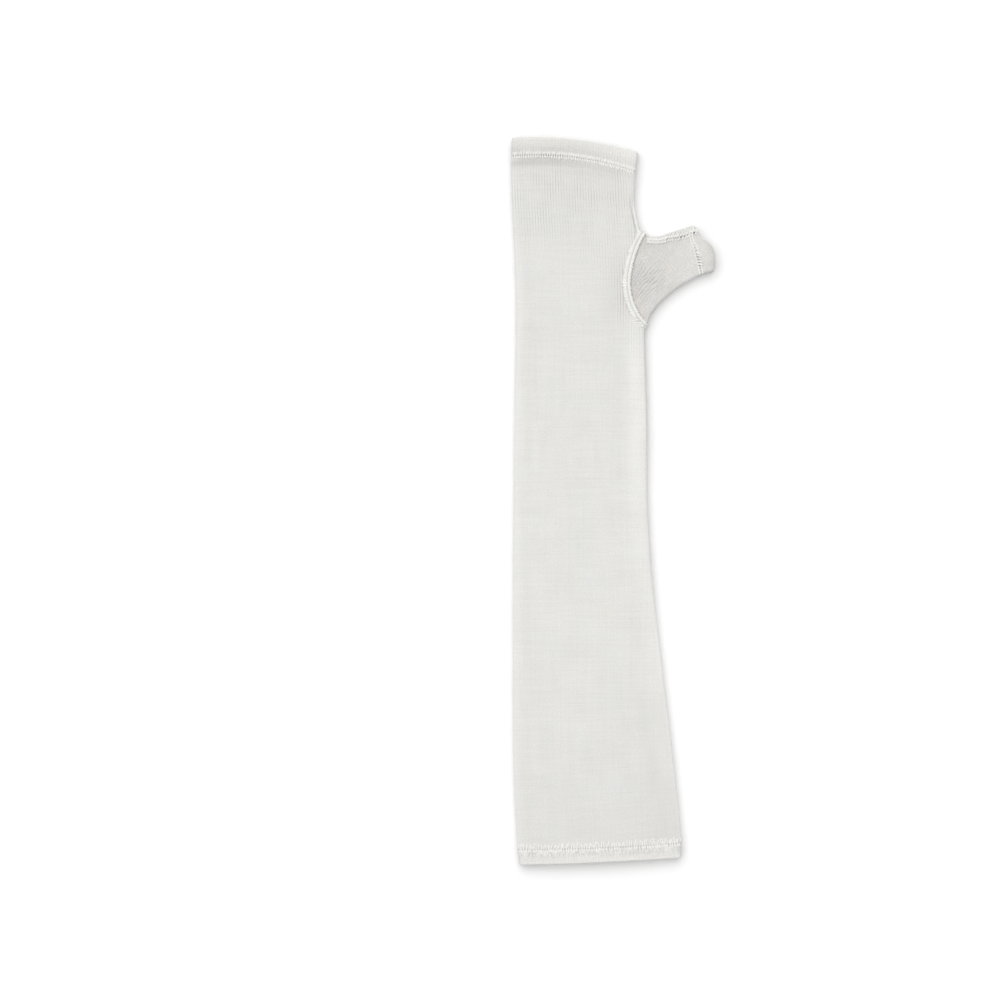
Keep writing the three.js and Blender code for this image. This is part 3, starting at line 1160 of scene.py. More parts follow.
@dataclass(frozen=True)
class Loops:
    """The sizes of a row of loops, mm."""

    count: int
    start: float  # where a loop starts, across the line
    reach: float  # where it ends
    height: float
    thread: float  # the thread's radius
    lean: float = 0.2  # how far its ends are shifted along the line
    uneven: float = 0.3
    seed: int = 1


@dataclass(frozen=True)
class Stitcher:
    """Lays stitches with the two trees and one thread."""

    loops: bpy.types.NodeTree
    threads: bpy.types.NodeTree
    material: bpy.types.Material

    def row(self, name: str, lines: list[Line], loops: Loops, closed: bool = False) -> Piece:
        """Lays a row of loops.

        Args:
            name: The piece's name.
            lines: The lines that the loops follow.
            loops: Their sizes.
            closed: Whether the lines are closed.

        Returns:
            The piece, riding on the body.
        """
        sizes = ("start", "reach", "height", "thread", "lean")
        values = {size.title(): getattr(loops, size) * MM for size in sizes}
        values |= {"Count": loops.count, "Uneven": loops.uneven, "Seed": loops.seed}
        return grow(path_of(name, lines, closed), self.loops, {**values, "Material": self.material})

    def lay(self, name: str, lines: list[Line], thread: float) -> Piece:
        """Lays a thread of that radius along each line."""
        path = path_of(name, lines, closed=False)
        return grow(path, self.threads, {"Thread": thread * MM, "Material": self.material})


# Sub-assemblies


def columns_of(fold_steps: int, front_steps: int, back_steps: int) -> Array:
    """Gives the turns of a grid's columns, from -3 to 3.

    Args:
        fold_steps: Steps in each quarter of a folded edge.
        front_steps: Steps across the front layer.
        back_steps: Steps across the back layer.

    Returns:
        The turns, of which the last is where the first is.
    """
    layers = []
    for steps in (back_steps, front_steps):
        thirds = enumerate((fold_steps, steps, fold_steps))
        layers.append(np.concatenate([*(np.linspace(k, k + 1, n + 1)[:-1] for k, n in thirds), [3.0]]))
    back, front = layers
    return np.concatenate([-back[::-1], front[1:]])


@dataclass(frozen=True)
class Slant:
    """How the slant of a bias knit changes beside the fold."""

    flatter: float = 26.0  # by how many degrees the ribs lie flatter at the fold
    ends: Pair = (5.0, 11.0)  # how far from the fold that starts to end, and its reach
    step: float = 0.25
    steps: int = 240

    def places(self, along: Array, skin: Array, degrees: float) -> Array:
        """Gives places on the knit.

        Args:
            along: Places along the tube, mm.
            skin: Lengths of cloth from the fold, mm.
            degrees: How far the ribs are turned.

        Returns:
            Places across the ribs and along them, mm.
        """
        angle = math.radians(degrees)
        far = np.linspace(0, self.step * self.steps, self.steps + 1)
        slant = np.radians(degrees - self.flatter * (1 - rise(far, *self.ends)))
        run = np.concatenate([[0], np.cumsum(self.step / np.tan((slant[1:] + slant[:-1]) / 2))])
        u = (along + np.sign(skin) * np.interp(np.abs(skin), far, run)) * math.sin(angle)
        return np.stack([u, along * math.cos(angle) - skin * math.sin(angle)], axis=-1)


def knit_places(tube: FlatTube, along: Array, turns: Array, grain: Grain) -> Array:
    """Gives places on the knit for a grid of a tube's points.

    Args:
        tube: The tube.
        along: The place of each row, mm.
        turns: The turn of each column.
        grain: How the knit is turned.

    Returns:
        Rows x columns x 2: across the ribs and along them, mm.
    """
    a, t = np.meshgrid(along, turns, indexing="ij")
    skin = tube.skin(a, t)
    return np.stack([skin, a], axis=-1) if grain is Grain.STRAIGHT else Slant().places(a, skin, grain.value)


@dataclass(frozen=True)
class ToneAndLight:
    """A soft patch where the sleeve is lighter, or darker where the gain is negative: some are the cloth's
    own colour, some are painted light and shadow at its right fold.
    """

    gain: float
    inward: Pair | None = None  # distance from the right fold, and reach
    along: Pair | None = None  # y, and reach
    below: Pair | None = None  # how far under the middle it starts, and over what reach

    def at(self, from_right: Array, y: Array) -> Array:
        """Gives how much lighter the cloth is.

        Args:
            from_right: Distances from the right fold, mm.
            y: Places along the sleeve, mm.

        Returns:
            A share for each place.
        """
        out = self.gain * (hump(from_right, *self.inward) if self.inward else 1.0)
        out = out * (hump(y, *self.along) if self.along else 1.0)
        return out * (rise(-y, *self.below) if self.below else 1.0)


@dataclass
class TubeCloth:
    """A single layer of knit that makes a tube, cut away where the thumb is sewn in."""

    name: str
    replaces: str
    tube: FlatTube
    slot: Slot
    finish: KnitFinish
    along: Array
    turns: Array
    grain: Grain = Grain.STRAIGHT
    thickness: float = 0.95
    cut: float = 0.5  # how far from the set-in line it is cut

    def build(self) -> Piece:
        """Builds the cloth's mesh and dresses it.

        Returns:
            The piece, riding on the body.
        """
        a, t = np.meshgrid(self.along, self.turns[:-1], indexing="ij")
        outer, inner = self.tube.point(a, t, 0.0), self.tube.point(a, t, self.thickness)
        offset = SET_IN.offset(outer[..., 0], outer[..., 1])
        kept = self.kept(offset)
        ring = np.roll(kept, -1, axis=1)
        cells = kept[:-1] & kept[1:] & ring[:-1] & ring[1:]
        places = knit_places(self.tube, self.along, self.turns, self.grain)
        start, end, _, _ = self.tube.edges(a)
        gaps = (np.linalg.norm(outer[..., :2] - edge, axis=-1) for edge in (start, end))
        shade = self.shade(outer, t, offset, *gaps)
        ribs = self.ribs(outer[..., 0], outer[..., 1], offset)
        wall = Wall(
            points=np.concatenate([outer, inner[::-1]]),
            knit=np.concatenate([places, places[::-1]]),
            # the inner face is painted darker: painted shade inside the tube
            shade=np.concatenate([shade, 0.9 * np.ones_like(shade)]),
            ribs=np.concatenate([ribs, ribs[::-1]]),
            keep=np.vstack([cells, cells[-1:], cells[::-1], cells[:1]]),
            flat_rows=(len(self.along) - 1, 2 * len(self.along) - 1),
        )
        return wall.build(self.name, self.finish, self.slot, self.replaces)

    def kept(self, offset: Array) -> Array:
        """Which points are left, by their distance from the set-in line."""
        raise NotImplementedError

    def ribs(self, x: Array, y: Array, offset: Array) -> Array:
        """How far the ribs stand open at each point."""
        raise NotImplementedError

    def shade(self, points: Array, turn: Array, offset: Array, from_left: Array, from_right: Array) -> Array:
        """How light the cloth is at each point, with painted light and shade, by its distances from the
        set-in line and the folds.
        """
        raise NotImplementedError

    def flat_area(self) -> float:
        """Gives the cloth's area before it was sewn.

        Returns:
            The area, in square metres.
        """
        girths = np.array([self.tube.girth(a) for a in self.along])
        middle = (girths[1:] + girths[:-1]) / 2
        return float((middle * np.diff(self.along)).sum()) * MM * MM

    def flat_size(self) -> tuple[float, float]:
        """The size of the flat piece it was cut from, in metres."""
        widest = max(self.tube.girth(a) for a in self.along)
        return widest * MM, float(self.along[-1] - self.along[0]) * MM


@dataclass
class SleeveCloth(TubeCloth):
    """The sleeve's cloth: its ribs stand open over the palm and beside the thumb."""

    fold: Humps = ((0.035, 0.0, 7.0), (0.12, 0.0, 0.7))  # painted light along the folds, strongest on their steep sides
    welt: Humps = ((0.22, 2.2, 0.45), (-0.22, 0.9, 0.7))  # the crease over the thumb: a painted shadow 2.2 mm in from the right fold and a painted highlight 0.9 mm in, where the back layer shows
    tones_and_light: tuple[ToneAndLight, ...] = (
        ToneAndLight(0.016, along=(190.0, 60.0)),
        ToneAndLight(-0.01, along=(115.0, 25.0)),
        ToneAndLight(-0.012, below=(60.0, 90.0)),
        ToneAndLight(-0.025, below=(130.0, 75.0)),
        # the next three: painted light along the right fold, which stands up a little
        ToneAndLight(0.035, inward=(7.0, 8.0), along=(60.0, 65.0)),
        ToneAndLight(0.05, inward=(7.5, 4.0), along=(90.0, 22.0)),
        ToneAndLight(0.03, inward=(7.5, 4.5), along=(25.0, 55.0)),
        ToneAndLight(-0.022, inward=(17.0, 7.0), along=(70.0, 50.0)),
        ToneAndLight(-0.028, inward=(8.0, 16.0), below=(95.0, 30.0)),
        ToneAndLight(-0.03, inward=(3.0, 8.0), below=(165.0, 20.0)),
        # painted light on the right fold's steep side towards the elbow
        ToneAndLight(0.14, inward=(0.0, 1.2), below=(40.0, 40.0)),
        # painted shadow along the right fold's edge
        ToneAndLight(-0.19, inward=(0.0, 0.8), along=(70.0, 45.0)),
    )

    def kept(self, offset: Array) -> Array:
        """Which points are left, by their distance from the set-in line."""
        return offset < -self.cut

    def ribs(self, x: Array, y: Array, offset: Array) -> Array:
        """Gives how far the ribs stand open.

        Args:
            x: Places across, mm.
            y: Places along, mm.
            offset: Distances from the set-in line, mm.

        Returns:
            A factor for each point.
        """
        by_seam = 0.5 * hump(x, 12.0, 5.0) * hump(y, 97.0, 14.0)
        by_seam = by_seam + 1.4 * hump(offset, 0.0, 13.0) * hump(y, 131.0, 36.0)
        return 0.08 + humps(y, ((0.92, 184.0, 30.0), (0.2, -205.0, 22.0))) + by_seam

    def shade(self, points: Array, turn: Array, offset: Array, from_left: Array, from_right: Array) -> Array:
        """Gives how light the cloth is: its own colour, with painted shade at the dip by the finger hem,
        painted light and shadow at the crease over the thumb and painted light along the folds.

        Args:
            points: The cloth's points, mm.
            turn: Their turns round the tube.
            offset: Not used.
            from_left: Their distances from the left fold, mm.
            from_right: Their distances from the right fold, mm.

        Returns:
            A factor for each point.
        """
        x, y, along = points[..., 0], points[..., 1], self.along[:, None]
        past = FINGER_STITCHING - along
        # painted shade in the dip beside the finger hem's stitching, deepest towards the left fold
        valley = 0.18 * hump(past, 4.3, 1.9) * (0.25 + 0.75 * hump(x, -49.0, 25.0))
        valley = valley + 0.05 * hump(past, 6.0, 5.0) * (1 - 0.5 * rise(x, 0.0, 10.0))
        # painted shadow and painted highlight at the crease over the thumb
        welt = hump(along, 390.0, 12.0) * (turn > 0) * humps(from_right, self.welt)
        # patches of the cloth's own colour, and painted light and shadow along the right fold
        tone_and_light = sum(tone_and_light.at(from_right, y) for tone_and_light in self.tones_and_light)
        return 1 + tone_and_light + humps(np.minimum(from_left, from_right), self.fold) - valley - welt


@dataclass
class ThumbCloth(TubeCloth):
    """The thumb's cloth, with painted shade under its seam and painted light along its folds, with its ribs
    open all over.
    """

    grain: Grain = Grain.BIAS

    def kept(self, offset: Array) -> Array:
        """Which points are left, by their distance from the set-in line."""
        return offset > self.cut

    def ribs(self, x: Array, y: Array, offset: Array) -> Array:
        """How far the ribs stand open at each point."""
        return 0.25 + 0.7 * hump(np.hypot(x - 20.0, y - 132.0), 0.0, 14.0)

    def shade(self, points: Array, turn: Array, offset: Array, from_left: Array, from_right: Array) -> Array:
        """How light the cloth is at each point, by its distances from the set-in line and the folds: painted
        shade by the seam, painted light along the folds.
        """
        fold = 0.1 * hump(np.minimum(from_left, from_right), 0.0, 0.7)
        return 0.95 + 0.05 * rise(offset, 2.0, 24.0) + fold


@dataclass
class Hem:
    """A turned-in hem: two layers pressed together, cover-stitched and folded over at the mouth."""

    name: str
    tube: FlatTube
    stitching: float
    edge: float
    finish: KnitFinish
    stitcher: Stitcher
    pitch: float = 1.8
    thickness: float = 1.7
    rounding: float = 0.6
    spacing: float = 0.45
    groove: float = 0.2
    groove_reach: float = 0.55
    swells: Humps = ((0.16, 1.1, 0.7), (0.1, -0.9, 0.6))  # of the cloth on both sides of the groove
    pit: float = 0.42
    pit_size: Pair = (0.42, 0.5)  # reach of a hole round the hem and along it
    # painted shade in the holes between the loops and along the stitch line
    pit_shade: float = 0.3
    thread: float = 0.4
    height: float = 0.5
    band: float = 0.05  # painted shade: how much darker it is on both sides of the stitches
    bands: Humps = ((1.0, 3.9, 1.9), (0.8, -1.6, 0.9))
    lightness: float = 1.0
    dusk: float = 0.0  # painted shade: how much darker the mouth is where it rolls under
    dusk_past: Pair = (4.5, 4.5)
    dusk_turn: Pair = (1.1, 0.5)
    lip: float = 0.0  # painted light: how much lighter it is along its mouth's rounded edge
    lip_reach: float = 2.2
    slope: Pair = (0.0, 0.0)  # how much lighter for each mm towards +x, and the even place
    fuzz: float = 0.0  # how uneven its knit is beside the stitches
    fuzz_past: Pair = (0.8, 3.6)
    fuzz_cell: Pair = (1.6, 0.8)
    plain: float = 0.0  # how much weaker its ribs are at the mouth
    plain_reach: float = 4.5
    lean: float = 0.2  # how far the loops slant, mm
    uneven: float = 0.2
    start: float = 0.6  # where the loops start, on both sides of the line
    edge_sink: float = 0.4  # how much deeper the stitches lie at the folded edges
    back_sink: float = 0.6  # and under the back layer, which lies on the surface
    teeth: Pair = (2.4, 1.8)  # reach of the loops towards the mouth and away from it
    dots: Pair = (0.0, 1000.0)  # x where the holes between the loops are deepest, and reach
    shallow: float = 0.3  # how deep the others are beside the deepest
    hole_depth_step: float = 5.0  # over what distance the holes' depth changes
    strands: tuple[float, ...] = ()  # how far past the line a thread runs along it
    bunch: Pair | None = None  # turns between which the thread is bunched up
    ribs: float = 0.6
    grain: Grain = Grain.STRAIGHT
    seed: int = 3

    @property
    def way(self) -> float:
        """1 where the mouth is further along the tube than the stitching, otherwise -1."""
        return math.copysign(1.0, self.edge - self.stitching)

    def ring(self, along: float, height: float, steps: int = 480) -> Line:
        """Gives a closed line round the hem.

        Args:
            along: Its place along the tube, mm.
            height: Its height over the cloth, mm.
            steps: How many points it has.

        Returns:
            The line.
        """
        turns = self.tube.around(along, steps)[:-1]
        place = np.full(steps, float(along))
        cosine, sine = self.tube.bearing(turns)
        sunk = self.edge_sink * cosine**2 + self.back_sink * np.clip(-sine, 0, 1)
        return self.tube.point(place, turns, sunk - height), self.tube.outward(place, turns)

    def stretch(self, along: float, turns: Pair, height: float, steps: int = 40) -> Line:
        """A line over a part of the hem, as ring gives, between two turns."""
        part, place = np.linspace(*turns, steps), np.full(steps, float(along))
        return self.tube.point(place, part, -height), self.tube.outward(place, part)

    def count(self) -> int:
        """How many stitches go round."""
        return round(self.tube.girth(self.stitching) / self.pitch)

    def phase(self, turns: Array, steps: int = 2400) -> Array:
        """Gives how many stitches from the start of the ring each turn is.

        Args:
            turns: Turns round the section.
            steps: How many steps the ring is measured in.

        Returns:
            The numbers, with a fraction.
        """
        points, _ = self.ring(self.stitching, 0.0, steps)
        length = travelled(np.vstack([points, points[:1]]))
        ring_turns = self.tube.around(self.stitching, steps)
        return np.interp(turns, ring_turns, length) / length[-1] * self.count()

    def stations(self) -> tuple[Array, Array]:
        """Gives the rows of the hem's section, from its outer face round its edge to its inner face.

        Returns:
            Each row's place along the tube and its depth into the cloth, mm.
        """
        start = self.stitching - self.way * HEM_BEHIND
        outside = spaced(start, self.edge - self.way * self.rounding, self.spacing)
        angles = np.linspace(0, math.pi / 2, 6)[1:]
        bend = self.edge - self.way * self.rounding * (1 - np.sin(angles))
        depth = self.rounding * (1 - np.cos(angles))
        inside = np.linspace(self.edge - self.way * self.rounding, start, 9)
        along = np.concatenate([outside, bend, bend[::-1], inside])
        inner = (self.thickness - depth[::-1], self.thickness + 0 * inside)
        return along, np.concatenate([0 * outside, depth, *inner])

    def build(self) -> list[Piece]:
        """Builds the hem and its stitches.

        Returns:
            The hem first, then its rows of stitches.
        """
        along, inset = self.stations()
        turns = self.tube.around(self.stitching, round(self.tube.girth(self.stitching) / self.spacing))
        phase = self.phase(turns[:-1])
        a, t = np.meshgrid(along, turns[:-1], indexing="ij")
        depth = np.repeat(inset[:, None], len(turns) - 1, axis=1)
        outer = depth < self.thickness / 2
        past, to_mouth = (a - self.stitching) * self.way, self.edge - a
        gap = (phase - np.floor(phase) - 0.5) * self.pitch
        x = self.tube.point(a, t, 0.0)[..., 0]
        deep = self.shallow + (1 - self.shallow) * hump(x, *self.dots)
        deep = deep * (0.6 + 0.6 * mottle(x, self.hole_depth_step, self.seed + 20))
        round_hole, along_hole = self.pit_size
        pit = deep * hump(gap[None, :], 0.0, round_hole) * hump(past, 0.0, along_hole) * outer
        groove = self.groove * hump(past, 0.0, self.groove_reach) - humps(past, self.swells)
        depth = depth + outer * groove + self.pit * pit
        fuzz = self.fuzz * outer * hump(past, *self.fuzz_past)
        fuzz = fuzz * speckle(along, phase * self.pitch, self.fuzz_cell, self.seed + 40)
        shade = (
            self.lightness
            + self.slope[0] * (x - self.slope[1])
            # painted light along the mouth's rounded edge
            + self.lip * outer * hump(to_mouth, 0.0, self.lip_reach)
            + fuzz
            # painted shade in the holes and along the stitch line
            - self.pit_shade * (pit + 0.1 * outer * hump(past, 0.0, 0.6))
            # painted shade beside and between the stitches
            - self.band * outer * humps(past, self.bands) * (0.4 + 0.6 * deep)
            # painted shade where the mouth rolls under
            - self.dusk * (rise(past, *self.dusk_past) * rise(np.abs(t), *self.dusk_turn) * outer)
        )
        wall = Wall(
            points=self.tube.point(a, t, depth),
            knit=knit_places(self.tube, along, turns, self.grain),
            shade=shade,
            ribs=self.ribs * (1 - self.plain * hump(to_mouth, 0.0, self.plain_reach)),
            flat_rows=(-1,),
        )
        return [wall.build(f"{self.name}_cloth", self.finish, Slot.HEM, self.name), *self.stitches()]

    def stitches(self) -> list[Piece]:
        """Lays the loops on both sides of the line, and the threads that some hems have besides.

        Returns:
            The pieces, the two rows of loops last.
        """
        stitcher, name, along, way = self.stitcher, self.name, self.stitching, self.way
        pieces = []
        if self.strands:
            strands = [self.ring(along + way * past, 0.1) for past in self.strands]
            pieces.append(stitcher.lay(f"{name}_strands", strands, self.thread))
        if self.bunch:
            line = [self.stretch(along + 0.7 * way, self.bunch, 0.1)]
            loops = Loops(5, -1.5, 1.6, height=1.0, thread=0.5, lean=0.5, seed=self.seed + 13)
            pieces.append(stitcher.row(f"{name}_bunch", line, loops))
            ends = [self.stretch(along + way * past, (self.bunch[1], 2.45), 0.35) for past in (-0.9, 0.9)]
            pieces.append(stitcher.lay(f"{name}_ends", ends, 0.52))
        line = [self.ring(along, 0.0)]
        rows = (("out", way, self.teeth[0], self.seed), ("in", -way, self.teeth[1], self.seed + 7))
        for side, out, reach, seed in rows:
            sizes = (self.count(), out * self.start, out * reach, self.height, self.thread)
            loops = Loops(*sizes, self.lean, self.uneven, seed)
            pieces.append(stitcher.row(f"{name}_stitches_{side}", line, loops, closed=True))
        return pieces


@dataclass
class SetInSeam:
    """The raised seam right round the hole that the thumb is sewn into: two ridges and a groove."""

    finish: KnitFinish
    stitcher: Stitcher
    name: str = "thumb_set_in_seam"
    height: float = 7.3  # of the front layer that it lies on
    bend: float = 3.75  # radius of its turn round each folded edge
    squareness: float = 0.48
    step: float = 0.4
    # A point for each line of its section: how far towards the thumb, and how high over the cloth
    section: tuple[Pair, ...] = (
        (-3.1, -1.1), (-2.95, -0.25), (-2.6, 0.05), (-2.15, 0.32), (-1.6, 0.46), (-1.05, 0.4),
        (-0.65, 0.2), (-0.4, 0.02), (-0.15, 0.02), (0.15, 0.24), (0.6, 0.56), (1.1, 0.64),
        (1.6, 0.5), (1.95, 0.22), (2.15, -0.25), (2.2, -1.4),
    )
    # The ridges' unevenness: height, step, seed, how far towards the thumb, and reach
    lumps: tuple[tuple[float, float, int, float, float], ...] = (
        (0.16, 2.0, 43, -1.6, 1.0),
        (0.12, 2.5, 44, 1.1, 0.8),
    )
    inside: float = 1.5  # how deep its inner face lies
    knot_below: float = 112.0  # y under which the thread is bunched up

    def rounded(self, centre: Array, ahead: Array, steps: int = 13) -> Line:
        """Rounds an end, from the front layer down to the back one.

        Args:
            centre: The end of the seam's line in plan.
            ahead: The way on from there.
            steps: Steps in each half of the turn.

        Returns:
            The line round the end.
        """
        share, quarter, _ = fold_curve(self.squareness)
        nose = np.interp(np.linspace(0, 1, steps + 1)[:-1], share, quarter)
        angles = math.pi / 2 + np.concatenate([-nose[::-1], nose[1:]])
        sine, cosine = np.sin(angles), np.cos(angles)
        reach = np.outer(sine**self.squareness, ahead) * self.bend
        half = self.height / 2
        level = half + half * (np.sign(cosine) * np.abs(cosine) ** self.squareness)
        return np.column_stack([centre + reach, level]), np.column_stack([np.outer(sine, ahead), cosine])

    def loop(self) -> tuple[Array, Array, Array]:
        """Lays out the seam's middle line, down the front, round and back up under the back layer.

        Returns:
            Its points, the ways out of the cloth, and the ways towards the thumb.
        """
        points, tangents = SET_IN.points, SET_IN.tangents
        reach = travelled(points)
        stops = spaced(self.bend, reach[-1] - self.bend, self.step)
        plan = np.stack([np.interp(stops, reach, points[:, k]) for k in (0, 1)], axis=-1)
        heading = np.stack([np.interp(stops, reach, tangents[:, k]) for k in (0, 1)], axis=-1)
        count = len(stops)
        up = np.tile(UP, (count, 1))
        front = np.column_stack([plan, np.full(count, self.height)])
        back = np.column_stack([plan, np.zeros(count)])
        end, end_out = self.rounded(plan[-1], heading[-1])
        start, start_out = self.rounded(plan[0], -heading[0])
        line = np.vstack([front, end, back[::-1], start[::-1]])
        out = np.vstack([up, end_out, -up, start_out[::-1]])
        side = np.column_stack([-heading[:, 1], heading[:, 0], np.zeros(count)])
        round_end, round_start = np.tile(side[-1], (len(end), 1)), np.tile(side[0], (len(start), 1))
        return line, out, np.vstack([side, round_end, side[::-1], round_start])

    def build(self) -> list[Piece]:
        """Builds the seam and its stitches.

        Returns:
            The seam first, then its rows of stitches.
        """
        line, out, across = self.loop()
        section = np.array(self.section)
        sideways, high = section[None, :, 0], section[None, :, 1]
        flat = np.clip(-out[:, 2], 0, 1)[:, None]
        over = high * (1 - flat) - (0.55 + 0.45 * (1 - high)) * flat
        over = np.where(flat > 0, over, high)
        rough = 0.0
        for size, step, seed, place, reach in self.lumps:
            lump = mottle(np.arange(len(line)), step, seed)[:, None] - 0.5
            rough = rough + size * lump * hump(sideways, place, reach)
        over = over + rough * (1 - flat)
        middle, thumbward, outward = line[:, None, :], across[:, None, :], out[:, None, :]
        outer = middle + thumbward * section[None, :, :1] + outward * over[..., None]
        outer[..., 2] = np.maximum(outer[..., 2], 0.0)
        depth = middle + thumbward * section[::-1][None, :, :1] * 0.96 - outward * self.inside
        reach = travelled(np.vstack([line, line[:1]]))
        side = np.concatenate([section[:, 0], section[::-1, 0]])
        wall = Wall(
            points=np.swapaxes(np.concatenate([outer, depth], axis=1), 0, 1),
            knit=np.stack(np.meshgrid(side, reach, indexing="ij"), axis=-1),
            shade=self.shade(side[:, None], reach[:-1]),
            ribs=0.5,
        )
        return [wall.build(f"{self.name}_ridges", self.finish, Slot.SEAM, self.name), *self.stitches()]

    def shade(self, side: Array, reach: Array) -> Array:
        """Gives how light the seam is: painted shade makes it darker in its groove and where thread nips it
        on both sides.

        Args:
            side: How far towards the thumb, mm.
            reach: Places along the seam, mm.

        Returns:
            A factor for each point.
        """
        holes = mottle(reach, 1.1, 41)[None, :] ** 2
        nips = mottle(reach, 1.0, 42)[None, :] ** 2
        groove = 1.05 - 0.22 * hump(side, -0.27, 0.4) - (0.15 + 0.6 * holes) * hump(side, 2.1, 0.55)
        return groove - 0.34 * nips * hump(side, -2.9, 0.5)

    def stitches(self) -> list[Piece]:
        """Lays a row of fine loops over each ridge, and a bunch of thread at the seam's lower end.

        Returns:
            The three pieces.
        """
        line, out, across = self.loop()
        lift = np.where(out[:, 2:] < -0.5, -0.75, 0.12)
        left = line + out * lift - across * 1.75
        right = line + out * (lift + 0.2) + across * 1.1
        ends = [k for k, p in enumerate(line) if out[k, 2] > 0.2 and p[1] < self.knot_below]
        knot = left[ends] + across[ends] * 0.5
        sleeve_side = Loops(80, -0.8, 1.0, height=0.2, thread=0.46, uneven=0.4, seed=21)
        thumb_side = Loops(80, -0.7, 0.75, height=0.3, thread=0.42, seed=22)
        bunch = Loops(5, -1.1, 1.2, height=0.95, thread=0.56, lean=0.7, uneven=0.35, seed=24)
        row, name = self.stitcher.row, self.name
        return [
            row(f"{name}_stitches_sleeve", [(left, out)], sleeve_side, closed=True),
            row(f"{name}_stitches_thumb", [(right, out)], thumb_side, closed=True),
            row(f"{name}_bunch", [(knot, out[ends])], bunch),
        ]


@dataclass
class TopSeam:
    """The overlocked seam along the thumb's upper edge, with its threads wrapped over the fold."""

    finish: KnitFinish
    stitcher: Stitcher
    tube: FlatTube
    name: str = "thumb_top_seam"
    start: float = 14.5
    end: float = 56.0
    width: Pair = (3.4, 5.4)  # on the front layer, at its start and its end
    wider: Humps = ((0.9, 40.0, 8.0),)
    behind: float = 3.0
    rise: float = 0.7
    pitch: float = 1.6
    wrap: Pair = (-0.8, 0.76)  # from where to where a thread goes round, across the seam
    lean: Pair = (0.9, 1.7)  # how far it slants, mm
    stray: float = 0.25
    open_from: Pair = (36.0, 10.0)  # where the body is open between its threads, and reach
    tip: float = 51.5  # and where it is again

    def front_width(self, along: Array) -> Array:
        """The seam's width on the front layer, mm."""
        share = np.clip((along - self.start) / (self.end - self.start), 0, 1)
        return self.width[0] + share * (self.width[1] - self.width[0]) + humps(along, self.wider)

    def on_fold(self, along: Array, across: Array, height: Array | float) -> Array:
        """Gives points over the fold.

        Args:
            along: Places along the thumb, mm.
            across: -1 at the seam's edge on the back layer, 0 on the fold, 1 at its edge on the front.
            height: Height over the cloth, mm.

        Returns:
            The points, mm.
        """
        fold = self.tube.edges(along)[3]["fold"]
        quarter = self.tube.quarter(fold)
        front = self.front_width(along) - fold / 2 + quarter
        skin = np.where(across > 0, across * front, across * self.behind)
        far, flat = np.abs(skin), self.tube.width(along) - fold
        turn = np.sign(skin) * np.where(far < quarter, far / quarter, 1 + (far - quarter) / flat)
        return self.tube.point(along, turn, -np.asarray(height))

    def body(self, along: Array, across: Array) -> Array:
        """Gives how high the seam's body stands over the cloth: least on the fold's side.

        Args:
            along: Places along the thumb, mm.
            across: Places across the seam.

        Returns:
            The height, mm.
        """
        over = 0.25 + 0.75 * rise(np.abs(across), 0.4, 0.25)
        over = self.rise * over * np.sqrt(np.clip(1 - np.abs(across) ** 7, 0, 1))
        return over - 0.5 * self.trough(along, across)

    def trough(self, along: Array, across: Array) -> Array:
        """Gives how far the body is open between its threads.

        Args:
            along: Places along the thumb, mm.
            across: Places across the seam.

        Returns:
            A share from 0 to about 1.
        """
        middle = hump(along, *self.open_from)
        band = hump(across, 0.84, 0.07 + 0.06 * middle) * (0.12 + 0.88 * middle)
        band = band + 0.75 * hump(across, 0.5, 0.06) * middle
        return band + 0.8 * hump(across, 0.82, 0.13) * hump(along, self.tip, 4.5)

    def build(self) -> list[Piece]:
        """Builds the seam's body and its threads.

        Returns:
            The body first, then the threads.
        """
        along = spaced(self.start, self.end, 0.4)
        shares = np.concatenate([np.linspace(-1, 0.5, 19), np.linspace(0.5, 1, 21)[1:]])
        a, s = np.meshgrid(along, shares, indexing="ij")
        ends = np.sqrt(np.clip((self.end - a) / 1.2, 0, 1))
        lumps = 0.1 * (2 * mottle(along, 0.8, 17) - 1)[:, None]
        outer = self.on_fold(a, s, (self.body(a, s) + lumps) * ends - 0.25 * (1 - ends))
        inner = self.on_fold(a, s[:, ::-1] * 0.97, -0.6)
        skin = np.concatenate([shares, shares[::-1]]) * 5.0
        # painted shade: the body darker than its threads, darker still in its open holes and among the tip's
        # loops; lighter near its start
        open_here = 0.55 + 0.6 * speckle(along, shares, (1.0, 0.09), 18)
        holes = np.clip(self.trough(a, s) * open_here, 0, 0.7)
        tip = 0.2 * (hump(a, self.tip, 3.5) * hump(s, 0.8, 0.18))
        shade = 0.81 + 0.24 * hump(a, self.start, 12.0) - 0.6 * holes - tip
        wall = Wall(
            points=np.swapaxes(np.concatenate([outer, inner], axis=1), 0, 1),
            knit=np.stack(np.meshgrid(skin, np.append(along, along[-1]), indexing="ij"), axis=-1),
            # the inner face is painted darker: painted shade under the seam's body
            shade=np.concatenate([shade.T, 0.8 * np.ones_like(shade.T)]),
            open_ended=True,
        )
        return [wall.build(f"{self.name}_overlock", self.finish, Slot.SEAM, self.name), *self.threads()]

    def wraps(self) -> list[Line]:
        """Lays out the threads that wrap the fold.

        Returns:
            A line for each.
        """
        chance = np.random.default_rng(29)
        share = np.linspace(*self.wrap, 17)
        lines = []
        for place in np.arange(self.start + 0.8, self.end - 1.0, self.pitch):
            lean = chance.uniform(*self.lean)
            along = place + chance.uniform(-self.stray, self.stray)
            along = along + lean * np.clip((self.wrap[1] - share) / 0.3, 0, 1)
            along = np.clip(along, self.start, self.end)
            height = self.body(along, share) + 0.1 - 0.5 * rise(share, 0.66, 0.1)
            line = self.on_fold(along, share, height)
            lines.append((line, np.zeros_like(line)))
        return lines

